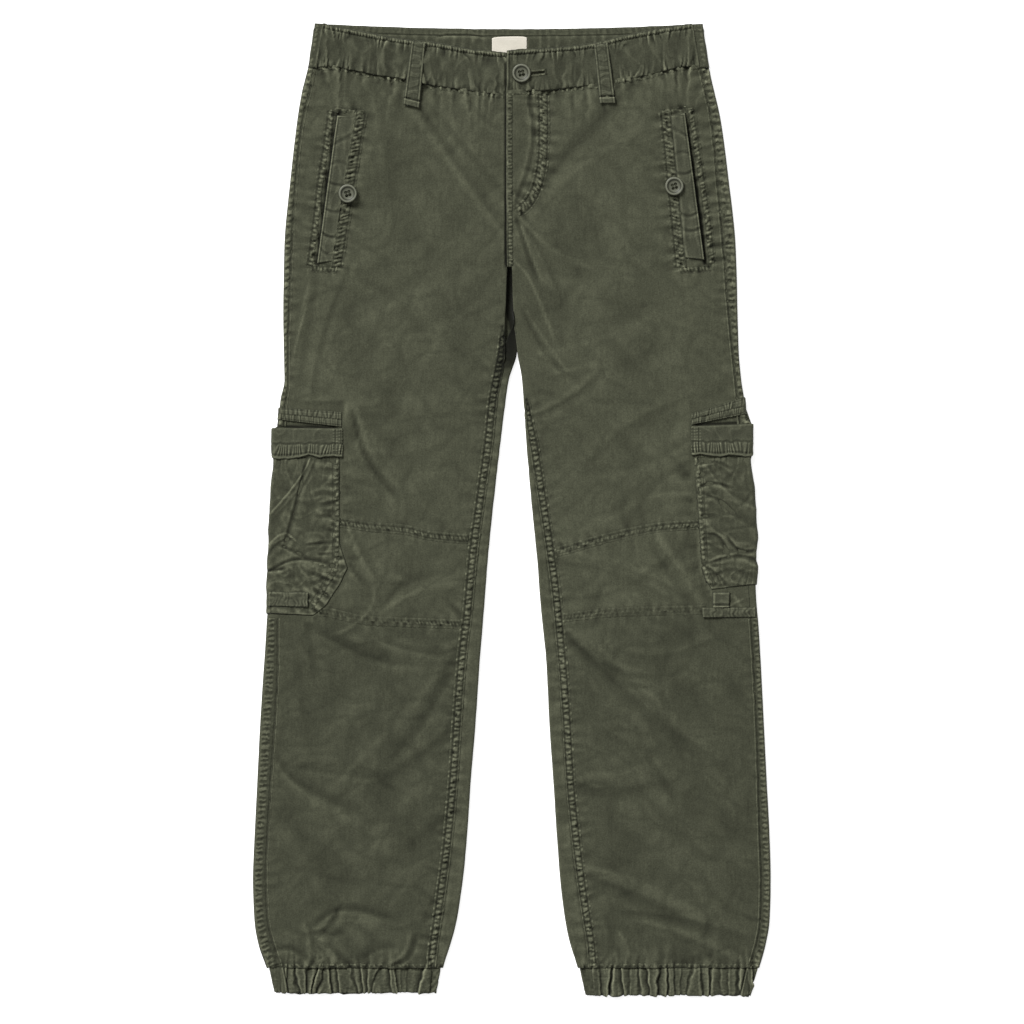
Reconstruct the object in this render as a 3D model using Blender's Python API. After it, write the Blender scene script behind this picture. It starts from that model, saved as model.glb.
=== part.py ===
"""Cargo trousers laid flat, face up, as separate cut-and-sewn pieces.

Metres in Blender, millimetres in the tables below. +Z is up from the table, +Y runs to the waist and +X to
the wearer's left. Every place on a leg is given as (outward, down): outward from the garment's centre line
and down from the top of the waist. The underside lies on z = 0.
"""

import math
from collections import namedtuple

import bpy
import bmesh
from mathutils import Matrix, Vector

# ---------------------------------------------------------------- driving dimensions, mm
MM = 0.001
LENGTH = 971.0           # top of the back waist to the lowest cuff
CLOTH = 1.2              # wall of the cotton
BAND_CLOTH = 1.4         # waistband, two layers
TRIM_CLOTH = 1.2         # pockets, loops and strips
LABEL_CLOTH = 0.6
SEAM_GAP = 0.3           # between neighbouring pieces
LAY_GAP = 0.5            # under a piece that lies on another
LAYER_SPACING = 3.6      # back layer to front layer, middle to middle
FOLD_STEPS = 3           # facets round a folded edge
CROWN = 2.0              # how far the front swells above its edges
CROWN_REACH = 60.0       # distance from an edge at which the swell is full
BACK_WAIST_SEAM = 43.8   # down to the waist seam on the back
CROTCH = 244.0           # down to the front crotch point
CURL_LENGTH = 60.0       # below the crotch the back comes round to the inseam over this length
CUFF_SEAM = 941.0
FLY_EDGE = 5.5           # the left front laps over the right to this far past the centre line
FLY_END = 188.0          # down to the foot of the fly
LAP = 1.5                # rise of the lapping layer
LAP_UNDER = 0.7          # how far the lapped layer sinks
BUTTON_LAP = 32.0        # how far the right waistband runs on under the left
ROW_CLEAR = 5.0          # least distance of a grid row from a cross edge
POCKET_BACK = 78.0       # width of the cargo pocket on the underside
LIFT_MARGIN = 6.0        # past the pocket's edge the back stays lifted this far
LIFT_RAMP = 26.0         # and comes down over this length
TRIM_OFFSET = CLOTH / 2 + LAY_GAP + TRIM_CLOTH / 2
FRONT_COLUMNS = 12
BUTTON_RADIUS = 9.6
BUTTON_HEIGHT = 3.0
BUTTON_SIDES = 24
HOLE_SPACING = 2.6       # of each sewing hole from the button's centre
HOLE_RADIUS = 0.95
LOOP_LIFT = TRIM_CLOTH + LAY_GAP

# ---------------------------------------------------------------- tables, mm
Station = namedtuple("Station", "down outer seam inseam inner")
# seam and inseam are where the front panel stops; outer and inner are the folded edges of the leg.
# Above the crotch, inseam is the centre front edge and inner the centre back seam.
STATIONS = {
    "right": (
        Station(0, 197.5, 190.5, 5.5, -2.0),
        Station(44, 204.3, 197.5, 5.5, -2.0),
        Station(70, 210.5, 203, 5.5, -2.0),
        Station(96, 215, 209, 5.5, -2.0),
        Station(156, 222, 216, 5.5, -2.0),
        Station(223, 228, 220, 3.5, 1.5),
        Station(244, 228.5, 221, 3.0, 2.6),
        Station(260, 229, 221.5, 5.0, 2.4),
        Station(276, 229, 222, 6.5, 2.0),
        Station(292, 229, 222.5, 8.4, 1.4),
        Station(326, 228.5, 224, 12.0, -2.4),
        Station(356, 229, 224, 14.0, 4.0),
        Station(376, 232, 226, 16.0, 7.0),
        Station(416, 239, 229, 21.0, 11.0),
        Station(476, 241, 231, 31.0, 18.0),
        Station(536, 244, 233, 39.0, 24.0),
        Station(576, 245, 234, 42.5, 27.0),
        Station(600, 246, 234, 45.0, 29.0),
        Station(636, 248, 234, 49.5, 32.0),
        Station(696, 252, 237, 54.0, 36.0),
        Station(756, 255, 241, 58.0, 41.0),
        Station(816, 258, 244.5, 63.5, 45.0),
        Station(856, 259.5, 246, 68.5, 49.0),
        Station(896, 258, 244, 74.0, 55.0),
        Station(916, 255, 240, 77.0, 60.0),
        Station(941, 246.5, 232, 80.0, 68.0),
        Station(971, 238, 224, 84.0, 76.0),
    ),
    "left": (
        Station(0, 191, 181, -5.2, 2.3),
        Station(44, 197, 188, -5.2, 2.3),
        Station(70, 203, 193.5, -5.2, 2.3),
        Station(96, 209, 199, -5.2, 2.3),
        Station(156, 217, 205, -5.2, 2.3),
        Station(223, 224, 211, -3.2, -1.1),
        Station(244, 225, 213, 0.5, -2.2),
        Station(260, 225.3, 214, 1.0, -1.9),
        Station(276, 225.5, 215, 1.4, -1.5),
        Station(292, 226, 216.6, 2.4, -0.9),
        Station(326, 227, 220, 6.9, 3.3),
        Station(356, 229, 223, 12.6, 9.0),
        Station(376, 231, 225, 13.5, 10.0),
        Station(416, 239, 229, 20.4, 14.0),
        Station(476, 241, 231, 30.0, 19.0),
        Station(536, 244, 234, 39.0, 25.0),
        Station(576, 245, 237, 44.0, 28.0),
        Station(600, 246.6, 238.6, 46.2, 30.4),
        Station(636, 249, 241, 49.5, 34.0),
        Station(696, 252, 244, 54.0, 37.0),
        Station(756, 255, 246, 57.5, 41.0),
        Station(816, 258, 247.5, 63.5, 45.0),
        Station(856, 259, 249, 68.5, 48.0),
        Station(896, 258, 248, 74.5, 53.0),
        Station(916, 255, 245, 78.0, 57.0),
        Station(941, 248.5, 238, 80.0, 64.5),
        Station(971, 239, 229, 84.0, 73.0),
    ),
}

# A cross edge: its down at the outer and the inner end, and its sag half way.
CrossEdge = namedtuple("CrossEdge", "outer inner sag")
EDGES = {
    "right": {
        "waistTop": CrossEdge(0.6, 29.4, 1.0),
        "waistSeam": CrossEdge(43.8, 72.0, 0.5),
        "kneeTop": CrossEdge(497.0, 516.0, -0.5),
        "kneeBottom": CrossEdge(586.0, 601.0, 4.0),
    },
    "left": {
        "waistTop": CrossEdge(2.0, 27.5, 4.0),
        "waistSeam": CrossEdge(43.8, 69.0, 2.5),
        "kneeTop": CrossEdge(499.0, 530.0, -6.0),
        "kneeBottom": CrossEdge(586.0, 594.5, -2.0),
    },
}

# The largest folds of the front: from one end to the other, half width, and height, a trough being negative.
Fold = namedtuple("Fold", "out0 down0 out1 down1 width height")
FOLDS = {
    "right": (
        Fold(86, 92, 14, 192, 11, 1.6),
        Fold(64, 96, 10, 176, 8, -1.2),
        Fold(206, 276, 222, 352, 8, 1.8),
        Fold(160, 300, 60, 250, 18, 1.2),
        Fold(157, 409, 100, 488, 10, -1.5),
        Fold(150, 520, 60, 560, 14, 1.6),
        Fold(180, 620, 74, 634, 11, 1.8),
        Fold(58, 618, 112, 738, 13, 2.2),
        Fold(190, 700, 120, 800, 20, 1.4),
        Fold(66, 796, 94, 858, 10, 2.0),
        Fold(160, 868, 108, 908, 11, -1.6),
        Fold(206, 880, 180, 932, 9, 1.4),
    ),
    "left": (
        Fold(8, 186, 108, 68, 10, 1.5),
        Fold(2, 211, 40, 322, 8, -1.6),
        Fold(14, 214, 62, 318, 9, 1.9),
        Fold(20, 330, 130, 300, 16, 1.3),
        Fold(150, 380, 60, 450, 16, 1.4),
        Fold(70, 540, 160, 570, 13, 1.6),
        Fold(56, 626, 168, 718, 12, -1.6),
        Fold(66, 612, 186, 700, 13, 2.2),
        Fold(74, 752, 134, 744, 10, 1.7),
        Fold(140, 738, 160, 772, 9, -1.4),
        Fold(86, 846, 170, 878, 11, 1.8),
        Fold(128, 890, 226, 912, 11, -1.5),
    ),
}

# Cargo pocket cross edges: down at the inner end on the front, down at the folded side, and the inner end.
CargoPart = namedtuple("CargoPart", "topIn topSide bottomIn bottomSide innerEnd")
CARGO = {
    "right": {
        "mouth_strip": CargoPart(388.0, 383.6, 403.2, 396.0, 170.0),
        "hem": CargoPart(404.3, 403.6, 433.0, 433.0, 169.0),
        "bag": CargoPart(433.5, 433.5, 593.0, 590.0, 172.0),
    },
    "left": {
        "mouth_strip": CargoPart(389.7, 373.0, 401.0, 390.5, 179.0),
        "hem": CargoPart(402.2, 399.6, 431.3, 432.0, 179.0),
        "bag": CargoPart(431.8, 432.5, 568.0, 561.0, 181.0),
    },
}
# Inner edge of the bag, whose lower corner is cut away: down, outward.
BAG_EDGE = {
    "right": ((433, 172), (520, 172), (544, 164), (560, 171.5), (572, 179.5), (582, 186), (593, 201)),
    "left": ((431, 181), (470, 184), (506, 187), (546, 190), (556, 193), (568, 201)),
}
# Pieces that lie on the front as quadrilaterals: outward and down of each corner.
Patch = namedtuple("Patch", "topOuter topInner bottomInner bottomOuter")
WELTS = {
    "right": Patch((175.0, 91.5), (156.5, 93.0), (179.5, 237.5), (195.0, 239.5)),
    "left": Patch((173.0, 89.0), (158.6, 91.5), (172.6, 234.0), (192.4, 236.0)),
}
FRONT_LOOPS = {
    "right": Patch((101.0, 17.5), (85.0, 19.5), (92.5, 84.6), (109.0, 80.5)),
    "left": Patch((97.5, 19.0), (79.0, 21.5), (87.6, 80.0), (103.7, 79.6)),
}
BASE_STRIPS = {
    "right": Patch((240.0, 567.4), (203.0, 568.0), (204.0, 583.2), (240.0, 582.2)),
    "left": Patch((240.0, 583.0), (189.5, 583.4), (190.5, 593.6), (240.0, 593.2)),
}
POCKET_TAB = Patch((217.5, 569.0), (200.0, 569.5), (201.0, 582.6), (216.8, 582.2))
BUTTONS = {
    "waist": ("left", 9.5, 49.0),
    "pocket_right": ("right", 164.0, 170.0),
    "pocket_left": ("left", 162.0, 162.6),
}
BACK_LOOPS = {"right": -132.0, "centre": 2.0, "left": 132.0}
BACK_LOOP_SIZE = (15.0, 60.0)
BACK_LOOP_TOP = 3.0
LABEL_SIZE = (35.0, 30.0)
LABEL_CENTRE = (-2.5, 29.0)
CUFF_BOTTOM = {"right": 968.5, "left": 971.0}
CUFF_GATHER = 8.6        # spacing of the elastic's gathers
CUFF_WAVE = 0.45
BAND_WAVE = 0.35
BACK_BAND_WAVE = 0.1
BAND_GATHER = 17.0

# Linear base colour, roughness and metallic value of each material.
MATERIALS = {
    "olive_cotton": ((0.072, 0.077, 0.046), 0.9, 0.0),
    "olive_band": ((0.065, 0.070, 0.042), 0.9, 0.0),
    "olive_trim": ((0.070, 0.075, 0.044), 0.9, 0.0),
    "horn_button": ((0.095, 0.100, 0.075), 0.4, 0.0),
    "cream_label": ((0.72, 0.68, 0.58), 0.85, 0.0),
}
SIDES = {"right": -1.0, "left": 1.0}


# ---------------------------------------------------------------- the garment's form
def ease(value):
    """Smooth step from 0 to 1."""
    t = clamp(value)
    return t * t * (3.0 - 2.0 * t)


def clamp(value):
    return min(1.0, max(0.0, value))


def mix(a, b, t):
    return a + (b - a) * t


def readTable(rows, key, column):
    """One column of a table at a key in its first column, straight between the rows."""
    key = min(max(key, rows[0][0]), rows[-1][0])
    index = next(k for k in range(len(rows) - 1) if key <= rows[k + 1][0])
    start, end = rows[index], rows[index + 1]
    return mix(start[column], end[column], (key - start[0]) / (end[0] - start[0]))


def station(side, name, down):
    return readTable(STATIONS[side], down, Station._fields.index(name))


def edgeDown(side, name, fraction):
    """Down of a cross edge, fraction 0 at the outer end and 1 at the inner."""
    edge = EDGES[side][name]
    return mix(edge.outer, edge.inner, fraction) + 4.0 * edge.sag * fraction * (1.0 - fraction)


def foldHeight(side, outward, down):
    """Sum of the fold table at one place: a soft ridge or trough along each line, fading at its ends."""
    total = 0.0
    for fold in FOLDS[side]:
        along = Vector((fold.out1 - fold.out0, fold.down1 - fold.down0))
        here = Vector((outward - fold.out0, down - fold.down0))
        t = here.dot(along) / along.length_squared
        across = abs(along.x * here.y - along.y * here.x) / along.length
        fade = ease((t + 0.25) / 0.5) * ease((1.25 - t) / 0.5)
        total += fold.height * fade * math.exp(-((across / fold.width) ** 2))
    return total


def calm(side, outward, down):
    """0 under and near what lies on the front, where the panel stays plain, and 1 away from it."""
    reach = 14.0
    areas = (
        (150.0, 205.0, 84.0, 246.0),
        (164.0, 300.0, 368.0, 600.0),
        (-60.0, 300.0, -50.0, 92.0),
    )
    keep = 1.0
    for out0, out1, down0, down1 in areas:
        gap = max(out0 - outward, outward - out1, down0 - down, down - down1)
        keep = min(keep, ease(gap / reach))
    return keep


def lift(side, outward, down):
    """How far the back layer stands off the table, to leave room for what lies under it."""
    waist = clamp((96.0 - down) / 26.0)
    edge = station(side, "outer", down)
    gap = max(edge - POCKET_BACK - LIFT_MARGIN - outward, 356.0 - down, down - 600.0)
    return LOOP_LIFT * max(waist, 1.0 - clamp(gap / LIFT_RAMP))


def underHeight(side, outward, down):
    """Middle of the back layer."""
    return CLOTH / 2 + lift(side, outward, down)


def rowHeight(side, outward, down):
    outer = station(side, "outer", down) - CLOTH / 2
    inner = station(side, "inner", down) + CLOTH / 2
    split = ease((down - CROTCH) / CURL_LENGTH)
    crown = ease((outer - outward) / CROWN_REACH)
    crown *= 1.0 - split * (1.0 - ease((outward - inner) / CROWN_REACH))
    crown *= ease((down - 60.0) / 60.0) * ease((CUFF_SEAM + 25.0 - down) / 60.0)
    height = underHeight(side, outward, down) + LAYER_SPACING + CROWN * crown
    return height + crown * calm(side, outward, down) * foldHeight(side, outward, down)


def topHeight(side, outward, down):
    """Middle of the front layer, straight between the rows of the station table."""
    rows = STATIONS[side]
    down = min(max(down, rows[0][0]), rows[-1][0])
    index = next(k for k in range(len(rows) - 1) if down <= rows[k + 1][0])
    above, below = rows[index][0], rows[index + 1][0]
    share = (down - above) / (below - above)
    return mix(rowHeight(side, outward, above), rowHeight(side, outward, below), share)


def flyLap(side, outward, down):
    """The left front rides over the right along the fly."""
    if side == "right":
        return 0.0
    return LAP * (1.0 - ease((outward + FLY_EDGE) / 34.0)) * (1.0 - ease((down - FLY_END) / 40.0))


def place(side, outward, down, height):
    return Vector((SIDES[side] * outward * MM, (LENGTH / 2 - down) * MM, height * MM))


def outerTurn(side, down, offset):
    """The folded outer edge of a leg as (outward, height) from the front round to the back."""
    outer = station(side, "outer", down) - CLOTH / 2
    low = underHeight(side, outer, down)
    radius = LAYER_SPACING / 2
    centre = outer - radius
    turned = []
    for step in range(FOLD_STEPS + 1):
        angle = math.pi / 2 - math.pi * step / FOLD_STEPS
        reach = radius + offset
        turned.append((centre + reach * math.cos(angle), low + radius + reach * math.sin(angle)))
    return turned


def innerCurl(side, down):
    """The back panel's inner edge as (outward, height): flat to the centre back seam above the crotch, and
    turned up and over to the inseam below it."""
    turn = ease((down - CROTCH) / CURL_LENGTH)
    inner = station(side, "inner", down) + CLOTH / 2 * math.sin(min(math.pi / 2, math.pi * turn))
    low = underHeight(side, inner, down)
    radius = LAYER_SPACING / 2
    step = 2.0 * radius * math.sin(math.pi / (2 * FOLD_STEPS))
    x, z, heading = 0.0, low, 0.0
    path = [(x, z)]
    for index in range(FOLD_STEPS):
        half = math.pi * turn / (2 * FOLD_STEPS)
        heading += half
        x -= step * math.cos(heading)
        z += step * math.sin(heading)
        heading += half
        path.append((x, z))
    wrap = max(0.8, (station(side, "inseam", down) - inner - radius - SEAM_GAP) * turn)
    for part in (0.5, 1.0):
        path.append((x - wrap * part * math.cos(heading), z + wrap * part * math.sin(heading)))
    shift = inner - min(p[0] for p in path)
    moved = [(px + shift, pz) for px, pz in path]
    for index in (-2, -1):
        px, pz = moved[index]
        moved[index] = (px, mix(pz, topHeight(side, px, down), turn))
    return moved


# ---------------------------------------------------------------- mesh tools
def makeMaterials():
    made = {}
    for name, (colour, roughness, metallic) in MATERIALS.items():
        material = bpy.data.materials.new(name)
        material.use_nodes = True
        shader = material.node_tree.nodes["Principled BSDF"]
        shader.inputs["Base Color"].default_value = (*colour, 1.0)
        shader.inputs["Roughness"].default_value = roughness
        shader.inputs["Metallic"].default_value = metallic
        made[name] = material
    return made


def addObject(name, mesh, material):
    mesh.materials.append(material)
    piece = bpy.data.objects.new(name, mesh)
    bpy.context.collection.objects.link(piece)
    return piece


def clothPiece(name, pointAt, columns, rows, thickness, material):
    """A grid laid through pointAt(u, v), u and v from 0 to 1, and given its wall by Solidify."""
    bm = bmesh.new()
    bmesh.ops.create_grid(bm, x_segments=columns, y_segments=rows, size=0.5)
    for vert in bm.verts:
        vert.co = pointAt(vert.co.x + 0.5, vert.co.y + 0.5)
    mesh = bpy.data.meshes.new(name)
    bm.to_mesh(mesh)
    bm.free()
    piece = addObject(name, mesh, material)
    wall = piece.modifiers.new("wall", "SOLIDIFY")
    wall.thickness = thickness * MM
    wall.offset = 0.0
    wall.use_even_offset = True
    mesh.shade_smooth()
    mesh.set_sharp_from_angle(angle=math.radians(50.0))
    return piece


def alongPath(path, u):
    """Point of a path at column u, by vertex number."""
    column = u * (len(path) - 1)
    index = min(int(column + 1e-6), len(path) - 2)
    t = column - index
    return mix(path[index][0], path[index + 1][0], t), mix(path[index][1], path[index + 1][1], t)


def spread(start, end, count):
    """count values from start to end, without the last."""
    return [mix(start, end, k / count) for k in range(count)]


# ---------------------------------------------------------------- panels
def rowsBetween(side, top, bottom):
    """Rows of the station table that lie clear of two cross edges."""
    return [row[0] for row in STATIONS[side] if top + ROW_CLEAR < row[0] < bottom - ROW_CLEAR]


def downAt(edges, u, v):
    """Down at column u and row v of a grid whose rows run from the last of edges to the first."""
    places = (1.0 - v) * (len(edges) - 1)
    index = min(int(places + 1e-6), len(edges) - 2)
    return mix(edges[index](u), edges[index + 1](u), places - index)


def straight(value):
    return lambda u: value


def frontPanel(side, name, topEdge, bottomEdge, columns, material):
    """Front of a leg between two cross edges and between the side seam and the inseam."""

    def top(u):
        return edgeDown(side, topEdge, u) + SEAM_GAP / 2

    def bottom(u):
        if bottomEdge:
            return edgeDown(side, bottomEdge, u) - SEAM_GAP / 2
        return CUFF_SEAM - SEAM_GAP / 2

    low = max(top(0.0), top(1.0))
    high = min(bottom(0.0), bottom(1.0))
    edges = [top] + [straight(row) for row in rowsBetween(side, low, high)] + [bottom]

    def pointAt(u, v):
        down = downAt(edges, u, v)
        outward = mix(station(side, "seam", down), station(side, "inseam", down), u)
        height = topHeight(side, outward, down) + flyLap(side, outward, down)
        return place(side, outward, down, height)

    return clothPiece(f"{name}_{side}", pointAt, columns, len(edges) - 1, CLOTH, material)


def backPanel(side, material):
    """One back leg: from the side seam round the outer edge, flat underneath, and up to the inseam."""

    def pathAt(down):
        turned = outerTurn(side, down, 0.0)
        curl = innerCurl(side, down)
        seam = station(side, "seam", down) + SEAM_GAP
        lifted = station(side, "outer", down) - POCKET_BACK - LIFT_MARGIN
        rested = lifted - LIFT_RAMP
        flat = [lifted, rested, mix(rested, curl[0][0], 0.5)]
        under = [(outward, underHeight(side, outward, down)) for outward in flat]
        return [(seam, topHeight(side, seam, down))] + turned + under + curl

    top = BACK_WAIST_SEAM + SEAM_GAP / 2
    bottom = CUFF_SEAM - SEAM_GAP / 2
    rows = rowsBetween(side, top, bottom)
    edges = [straight(down) for down in [top] + rows + [bottom]]
    columns = len(pathAt(CROTCH)) - 1

    def pointAt(u, v):
        down = downAt(edges, u, v)
        outward, height = alongPath(pathAt(down), u)
        return place(side, outward, down, height)

    return clothPiece(f"back_leg_{side}", pointAt, columns, len(edges) - 1, CLOTH, material)


def bandWave(position):
    """Uneven gathers drawn up by an elastic."""
    turn = 2.0 * math.pi * position
    return math.sin(turn / BAND_GATHER + 1.4 * math.sin(turn / (4.3 * BAND_GATHER)))


def waistbandFront(side, material):
    """Front waistband, from the side seam to the fly edge; the right one runs on under the left."""
    extra = BUTTON_LAP + FLY_EDGE if side == "right" else 0.0

    def pointAt(u, v):
        low = station(side, "seam", BACK_WAIST_SEAM)
        high = station(side, "seam", 0.0)
        innerEnd = station(side, "inseam", 0.0)
        outward = mix(mix(low, high, v), innerEnd - extra, u)
        fraction = min(1.0, (low - outward) / (low - innerEnd))
        top = edgeDown(side, "waistTop", fraction)
        bottom = edgeDown(side, "waistSeam", fraction) - SEAM_GAP / 2
        bottom -= 2.5 * ease((innerEnd - outward) / 6.0) + 0.3 * max(0.0, innerEnd - outward)
        down = mix(bottom, top, v)
        lapped = innerEnd if side == "right" else BUTTON_LAP
        near = 1.0 - ease((outward - lapped) / 26.0)
        height = underHeight(side, outward, 0.0) + LAYER_SPACING
        height -= near * (LAP_UNDER if side == "right" else LAP_UNDER - BAND_CLOTH - LAY_GAP)
        height += BAND_WAVE * bandWave(outward) * ease((outward - 34.0) / 30.0) * math.sin(math.pi * v)
        return place(side, outward, down, height)

    columns = 26 if side == "right" else 22
    return clothPiece(f"waistband_front_{side}", pointAt, columns, 2, BAND_CLOTH, material)


def waistbandBack(material):
    """Back waistband in one piece, wrapped at each side to the front band's seam."""
    dip = 6.0
    flatCount = 18

    def halfPath(side, v):
        down = mix(BACK_WAIST_SEAM, 0.0, v)
        turned = outerTurn(side, down, 0.0)
        seam = station(side, "seam", down) + SEAM_GAP
        return [(seam, topHeight(side, seam, down))] + turned

    def pathAt(v):
        right = [(-outward, height) for outward, height in halfPath("right", v)]
        left = halfPath("left", v)
        flat = []
        for x in spread(right[-1][0], left[-1][0], flatCount)[1:]:
            height = underHeight("left", 0.0, 0.0) + (BAND_CLOTH - CLOTH) / 2
            inset = ease(min(x - right[-1][0], left[-1][0] - x) / 40.0)
            flat.append((x, height + BACK_BAND_WAVE * inset * (1.0 + bandWave(x)) * math.sin(math.pi * v)))
        return right + flat + left[::-1]

    columns = len(pathAt(0.0)) - 1

    def pointAt(u, v):
        x, height = alongPath(pathAt(v), u)
        middle = 1.0 - (x / 200.0) ** 2
        top = dip * max(0.0, middle)
        down = mix(BACK_WAIST_SEAM - SEAM_GAP / 2, top, v)
        return place("left", x, down, height)

    return clothPiece("waistband_back", pointAt, columns, 2, BAND_CLOTH, material)


def cuff(side, material):
    """Elastic cuff: a flattened ring with its seam at the inseam, drawn into uneven gathers."""
    bottom = CUFF_BOTTOM[side]
    count = 32
    sideCount = 3

    def pathAt(down):
        outer = station(side, "outer", down) - CLOTH / 2
        inner = station(side, "inner", down) + CLOTH / 2
        radius = LAYER_SPACING / 2
        low = CLOTH / 2
        high = low + LAYER_SPACING
        inseam = station(side, "inseam", down)

        def gather(outward, phase):
            turn = 2.0 * math.pi * outward / CUFF_GATHER
            return CUFF_WAVE * (1.0 + math.sin(turn + 1.2 * math.sin(turn / 5.3 + phase)))

        front = [(o, high + gather(o, 0.0)) for o in spread(inseam + SEAM_GAP, outer - radius, count)]
        outerFold = [
            (
                outer - radius + radius * math.sin(math.pi * k / sideCount),
                (low + high) / 2 + radius * math.cos(math.pi * k / sideCount),
            )
            for k in range(sideCount)
        ]
        back = [(o, low + gather(o, 2.0)) for o in spread(outer - radius, inner + radius, count)]
        innerFold = [
            (
                inner + radius - radius * math.sin(math.pi * k / sideCount),
                (low + high) / 2 - radius * math.cos(math.pi * k / sideCount),
            )
            for k in range(sideCount + 1)
        ]
        end = [(inseam - SEAM_GAP / 2, high)]
        return front + outerFold + back + innerFold + end

    columns = len(pathAt(bottom)) - 1

    def pointAt(u, v):
        down = mix(bottom, CUFF_SEAM + SEAM_GAP / 2, v)
        outward, height = alongPath(pathAt(down), u)
        return place(side, outward, down, height)

    return clothPiece(f"cuff_{side}", pointAt, columns, 1, CLOTH, material)


# ---------------------------------------------------------------- what lies on the panels
def bagEdge(side, down):
    return readTable(BAG_EDGE[side], down, 1)


def cargoPiece(side, name, material):
    """A cargo pocket piece that wraps round the outer edge of the leg, from its inner end on the front to
    the same width on the underside."""
    part = CARGO[side][name]
    frontCount = 4
    backCount = 2

    def pathAt(down):
        inner = bagEdge(side, down) if name == "bag" else part.innerEnd
        turned = outerTurn(side, down, TRIM_OFFSET)
        front = [
            (outward, topHeight(side, outward, down) + TRIM_OFFSET)
            for outward in spread(inner, turned[0][0], frontCount)
        ]
        backEnd = station(side, "outer", down) - POCKET_BACK + (inner - part.innerEnd)
        under = [
            (outward, underHeight(side, outward, down) - TRIM_OFFSET)
            for outward in (mix(turned[-1][0], backEnd, k / backCount) for k in range(1, backCount + 1))
        ]
        return front + turned + under

    columns = len(pathAt(part.topIn)) - 1

    def sideward(u):
        return 1.0 - abs(2.0 * u - 1.0)

    def top(u):
        return mix(part.topIn, part.topSide, sideward(u)) + SEAM_GAP / 2

    def bottom(u):
        return mix(part.bottomIn, part.bottomSide, sideward(u)) - SEAM_GAP / 2

    low = max(part.topIn, part.topSide)
    high = min(part.bottomIn, part.bottomSide)
    rows = rowsBetween(side, low - ROW_CLEAR / 2, high + ROW_CLEAR / 2)
    if name == "bag":
        rows += [down for down, outward in BAG_EDGE[side] if part.topIn + 20.0 < down < part.bottomIn - 5.0]
    edges = [top] + [straight(row) for row in sorted(set(rows))] + [bottom]

    def pointAt(u, v):
        down = downAt(edges, u, v)
        outward, height = alongPath(pathAt(down), u)
        return place(side, outward, down, height)

    return clothPiece(f"cargo_{name}_{side}", pointAt, columns, len(edges) - 1, TRIM_CLOTH, material)


def frontPatch(side, name, corners, columns, rows, offset, material):
    """A strip that lies on the front within four corners, offset from the panel's middle."""
    topOuter, topInner, bottomInner, bottomOuter = corners

    def pointAt(u, v):
        outward = mix(mix(bottomOuter[0], bottomInner[0], u), mix(topOuter[0], topInner[0], u), v)
        down = mix(mix(bottomOuter[1], bottomInner[1], u), mix(topOuter[1], topInner[1], u), v)
        return place(side, outward, down, topHeight(side, outward, down) + offset)

    return clothPiece(name, pointAt, columns, rows, TRIM_CLOTH, material)


def backLoop(name, centre, material):
    """A belt loop flat on the table under the back waistband."""
    width, length = BACK_LOOP_SIZE

    def pointAt(u, v):
        x = centre + (u - 0.5) * width
        down = mix(BACK_LOOP_TOP + length, BACK_LOOP_TOP, v)
        return place("left", x, down, TRIM_CLOTH / 2)

    return clothPiece(f"belt_loop_back_{name}", pointAt, 1, 2, TRIM_CLOTH, material)


def label(material):
    """Bare woven label on the inner face of the back waistband."""
    width, height = LABEL_SIZE
    x, down = LABEL_CENTRE
    level = underHeight("left", 0.0, 0.0) + BAND_CLOTH + LAY_GAP + LABEL_CLOTH / 2 - CLOTH / 2

    def pointAt(u, v):
        return place("left", x + (u - 0.5) * width, down - (v - 0.5) * height, level)

    return clothPiece("waist_label", pointAt, 1, 1, LABEL_CLOTH, material)


def button(name, side, outward, down, height, material):
    """Four-hole button: a turned disc with a raised rim and a dished middle."""
    profile = (
        (5.6, 1.7),
        (6.8, 2.7),
        (8.2, BUTTON_HEIGHT),
        (9.2, 2.6),
        (BUTTON_RADIUS, 1.5),
        (8.8, 0.3),
        (7.4, 0.0),
    )
    bm = bmesh.new()
    verts = [bm.verts.new((radius * MM, 0.0, z * MM)) for radius, z in profile]
    edges = [bm.edges.new(pair) for pair in zip(verts, verts[1:])]
    bmesh.ops.spin(
        bm,
        geom=verts + edges,
        cent=(0.0, 0.0, 0.0),
        axis=(0.0, 0.0, 1.0),
        angle=2.0 * math.pi,
        steps=BUTTON_SIDES,
        use_merge=True,
    )
    bmesh.ops.holes_fill(bm, edges=[edge for edge in bm.edges if edge.is_boundary], sides=0)
    bmesh.ops.recalc_face_normals(bm, faces=bm.faces)
    mesh = bpy.data.meshes.new(name)
    bm.to_mesh(mesh)
    bm.free()
    piece = addObject(name, mesh, material)
    piece.location = place(side, outward, down, height)
    holes = holeCutter(f"{name}_holes")
    holes.location = piece.location
    cut = piece.modifiers.new("holes", "BOOLEAN")
    cut.operation = "DIFFERENCE"
    cut.object = holes
    mesh.shade_smooth()
    mesh.set_sharp_from_angle(angle=math.radians(40.0))
    return piece


def holeCutter(name):
    """Guide: four posts that cut the sewing holes."""
    bm = bmesh.new()
    for quarter in range(4):
        angle = math.pi / 4 + math.pi / 2 * quarter
        across = HOLE_SPACING * MM
        bmesh.ops.create_cone(
            bm,
            cap_ends=True,
            segments=8,
            radius1=HOLE_RADIUS * MM,
            radius2=HOLE_RADIUS * MM,
            depth=12.0 * MM,
            matrix=Matrix.Translation((across * math.cos(angle), across * math.sin(angle), 0.0)),
        )
    mesh = bpy.data.meshes.new(name)
    bm.to_mesh(mesh)
    bm.free()
    cutter = bpy.data.objects.new(name, mesh)
    bpy.context.collection.objects.link(cutter)
    cutter.hide_render = True
    cutter.display_type = "WIRE"
    return cutter


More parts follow.
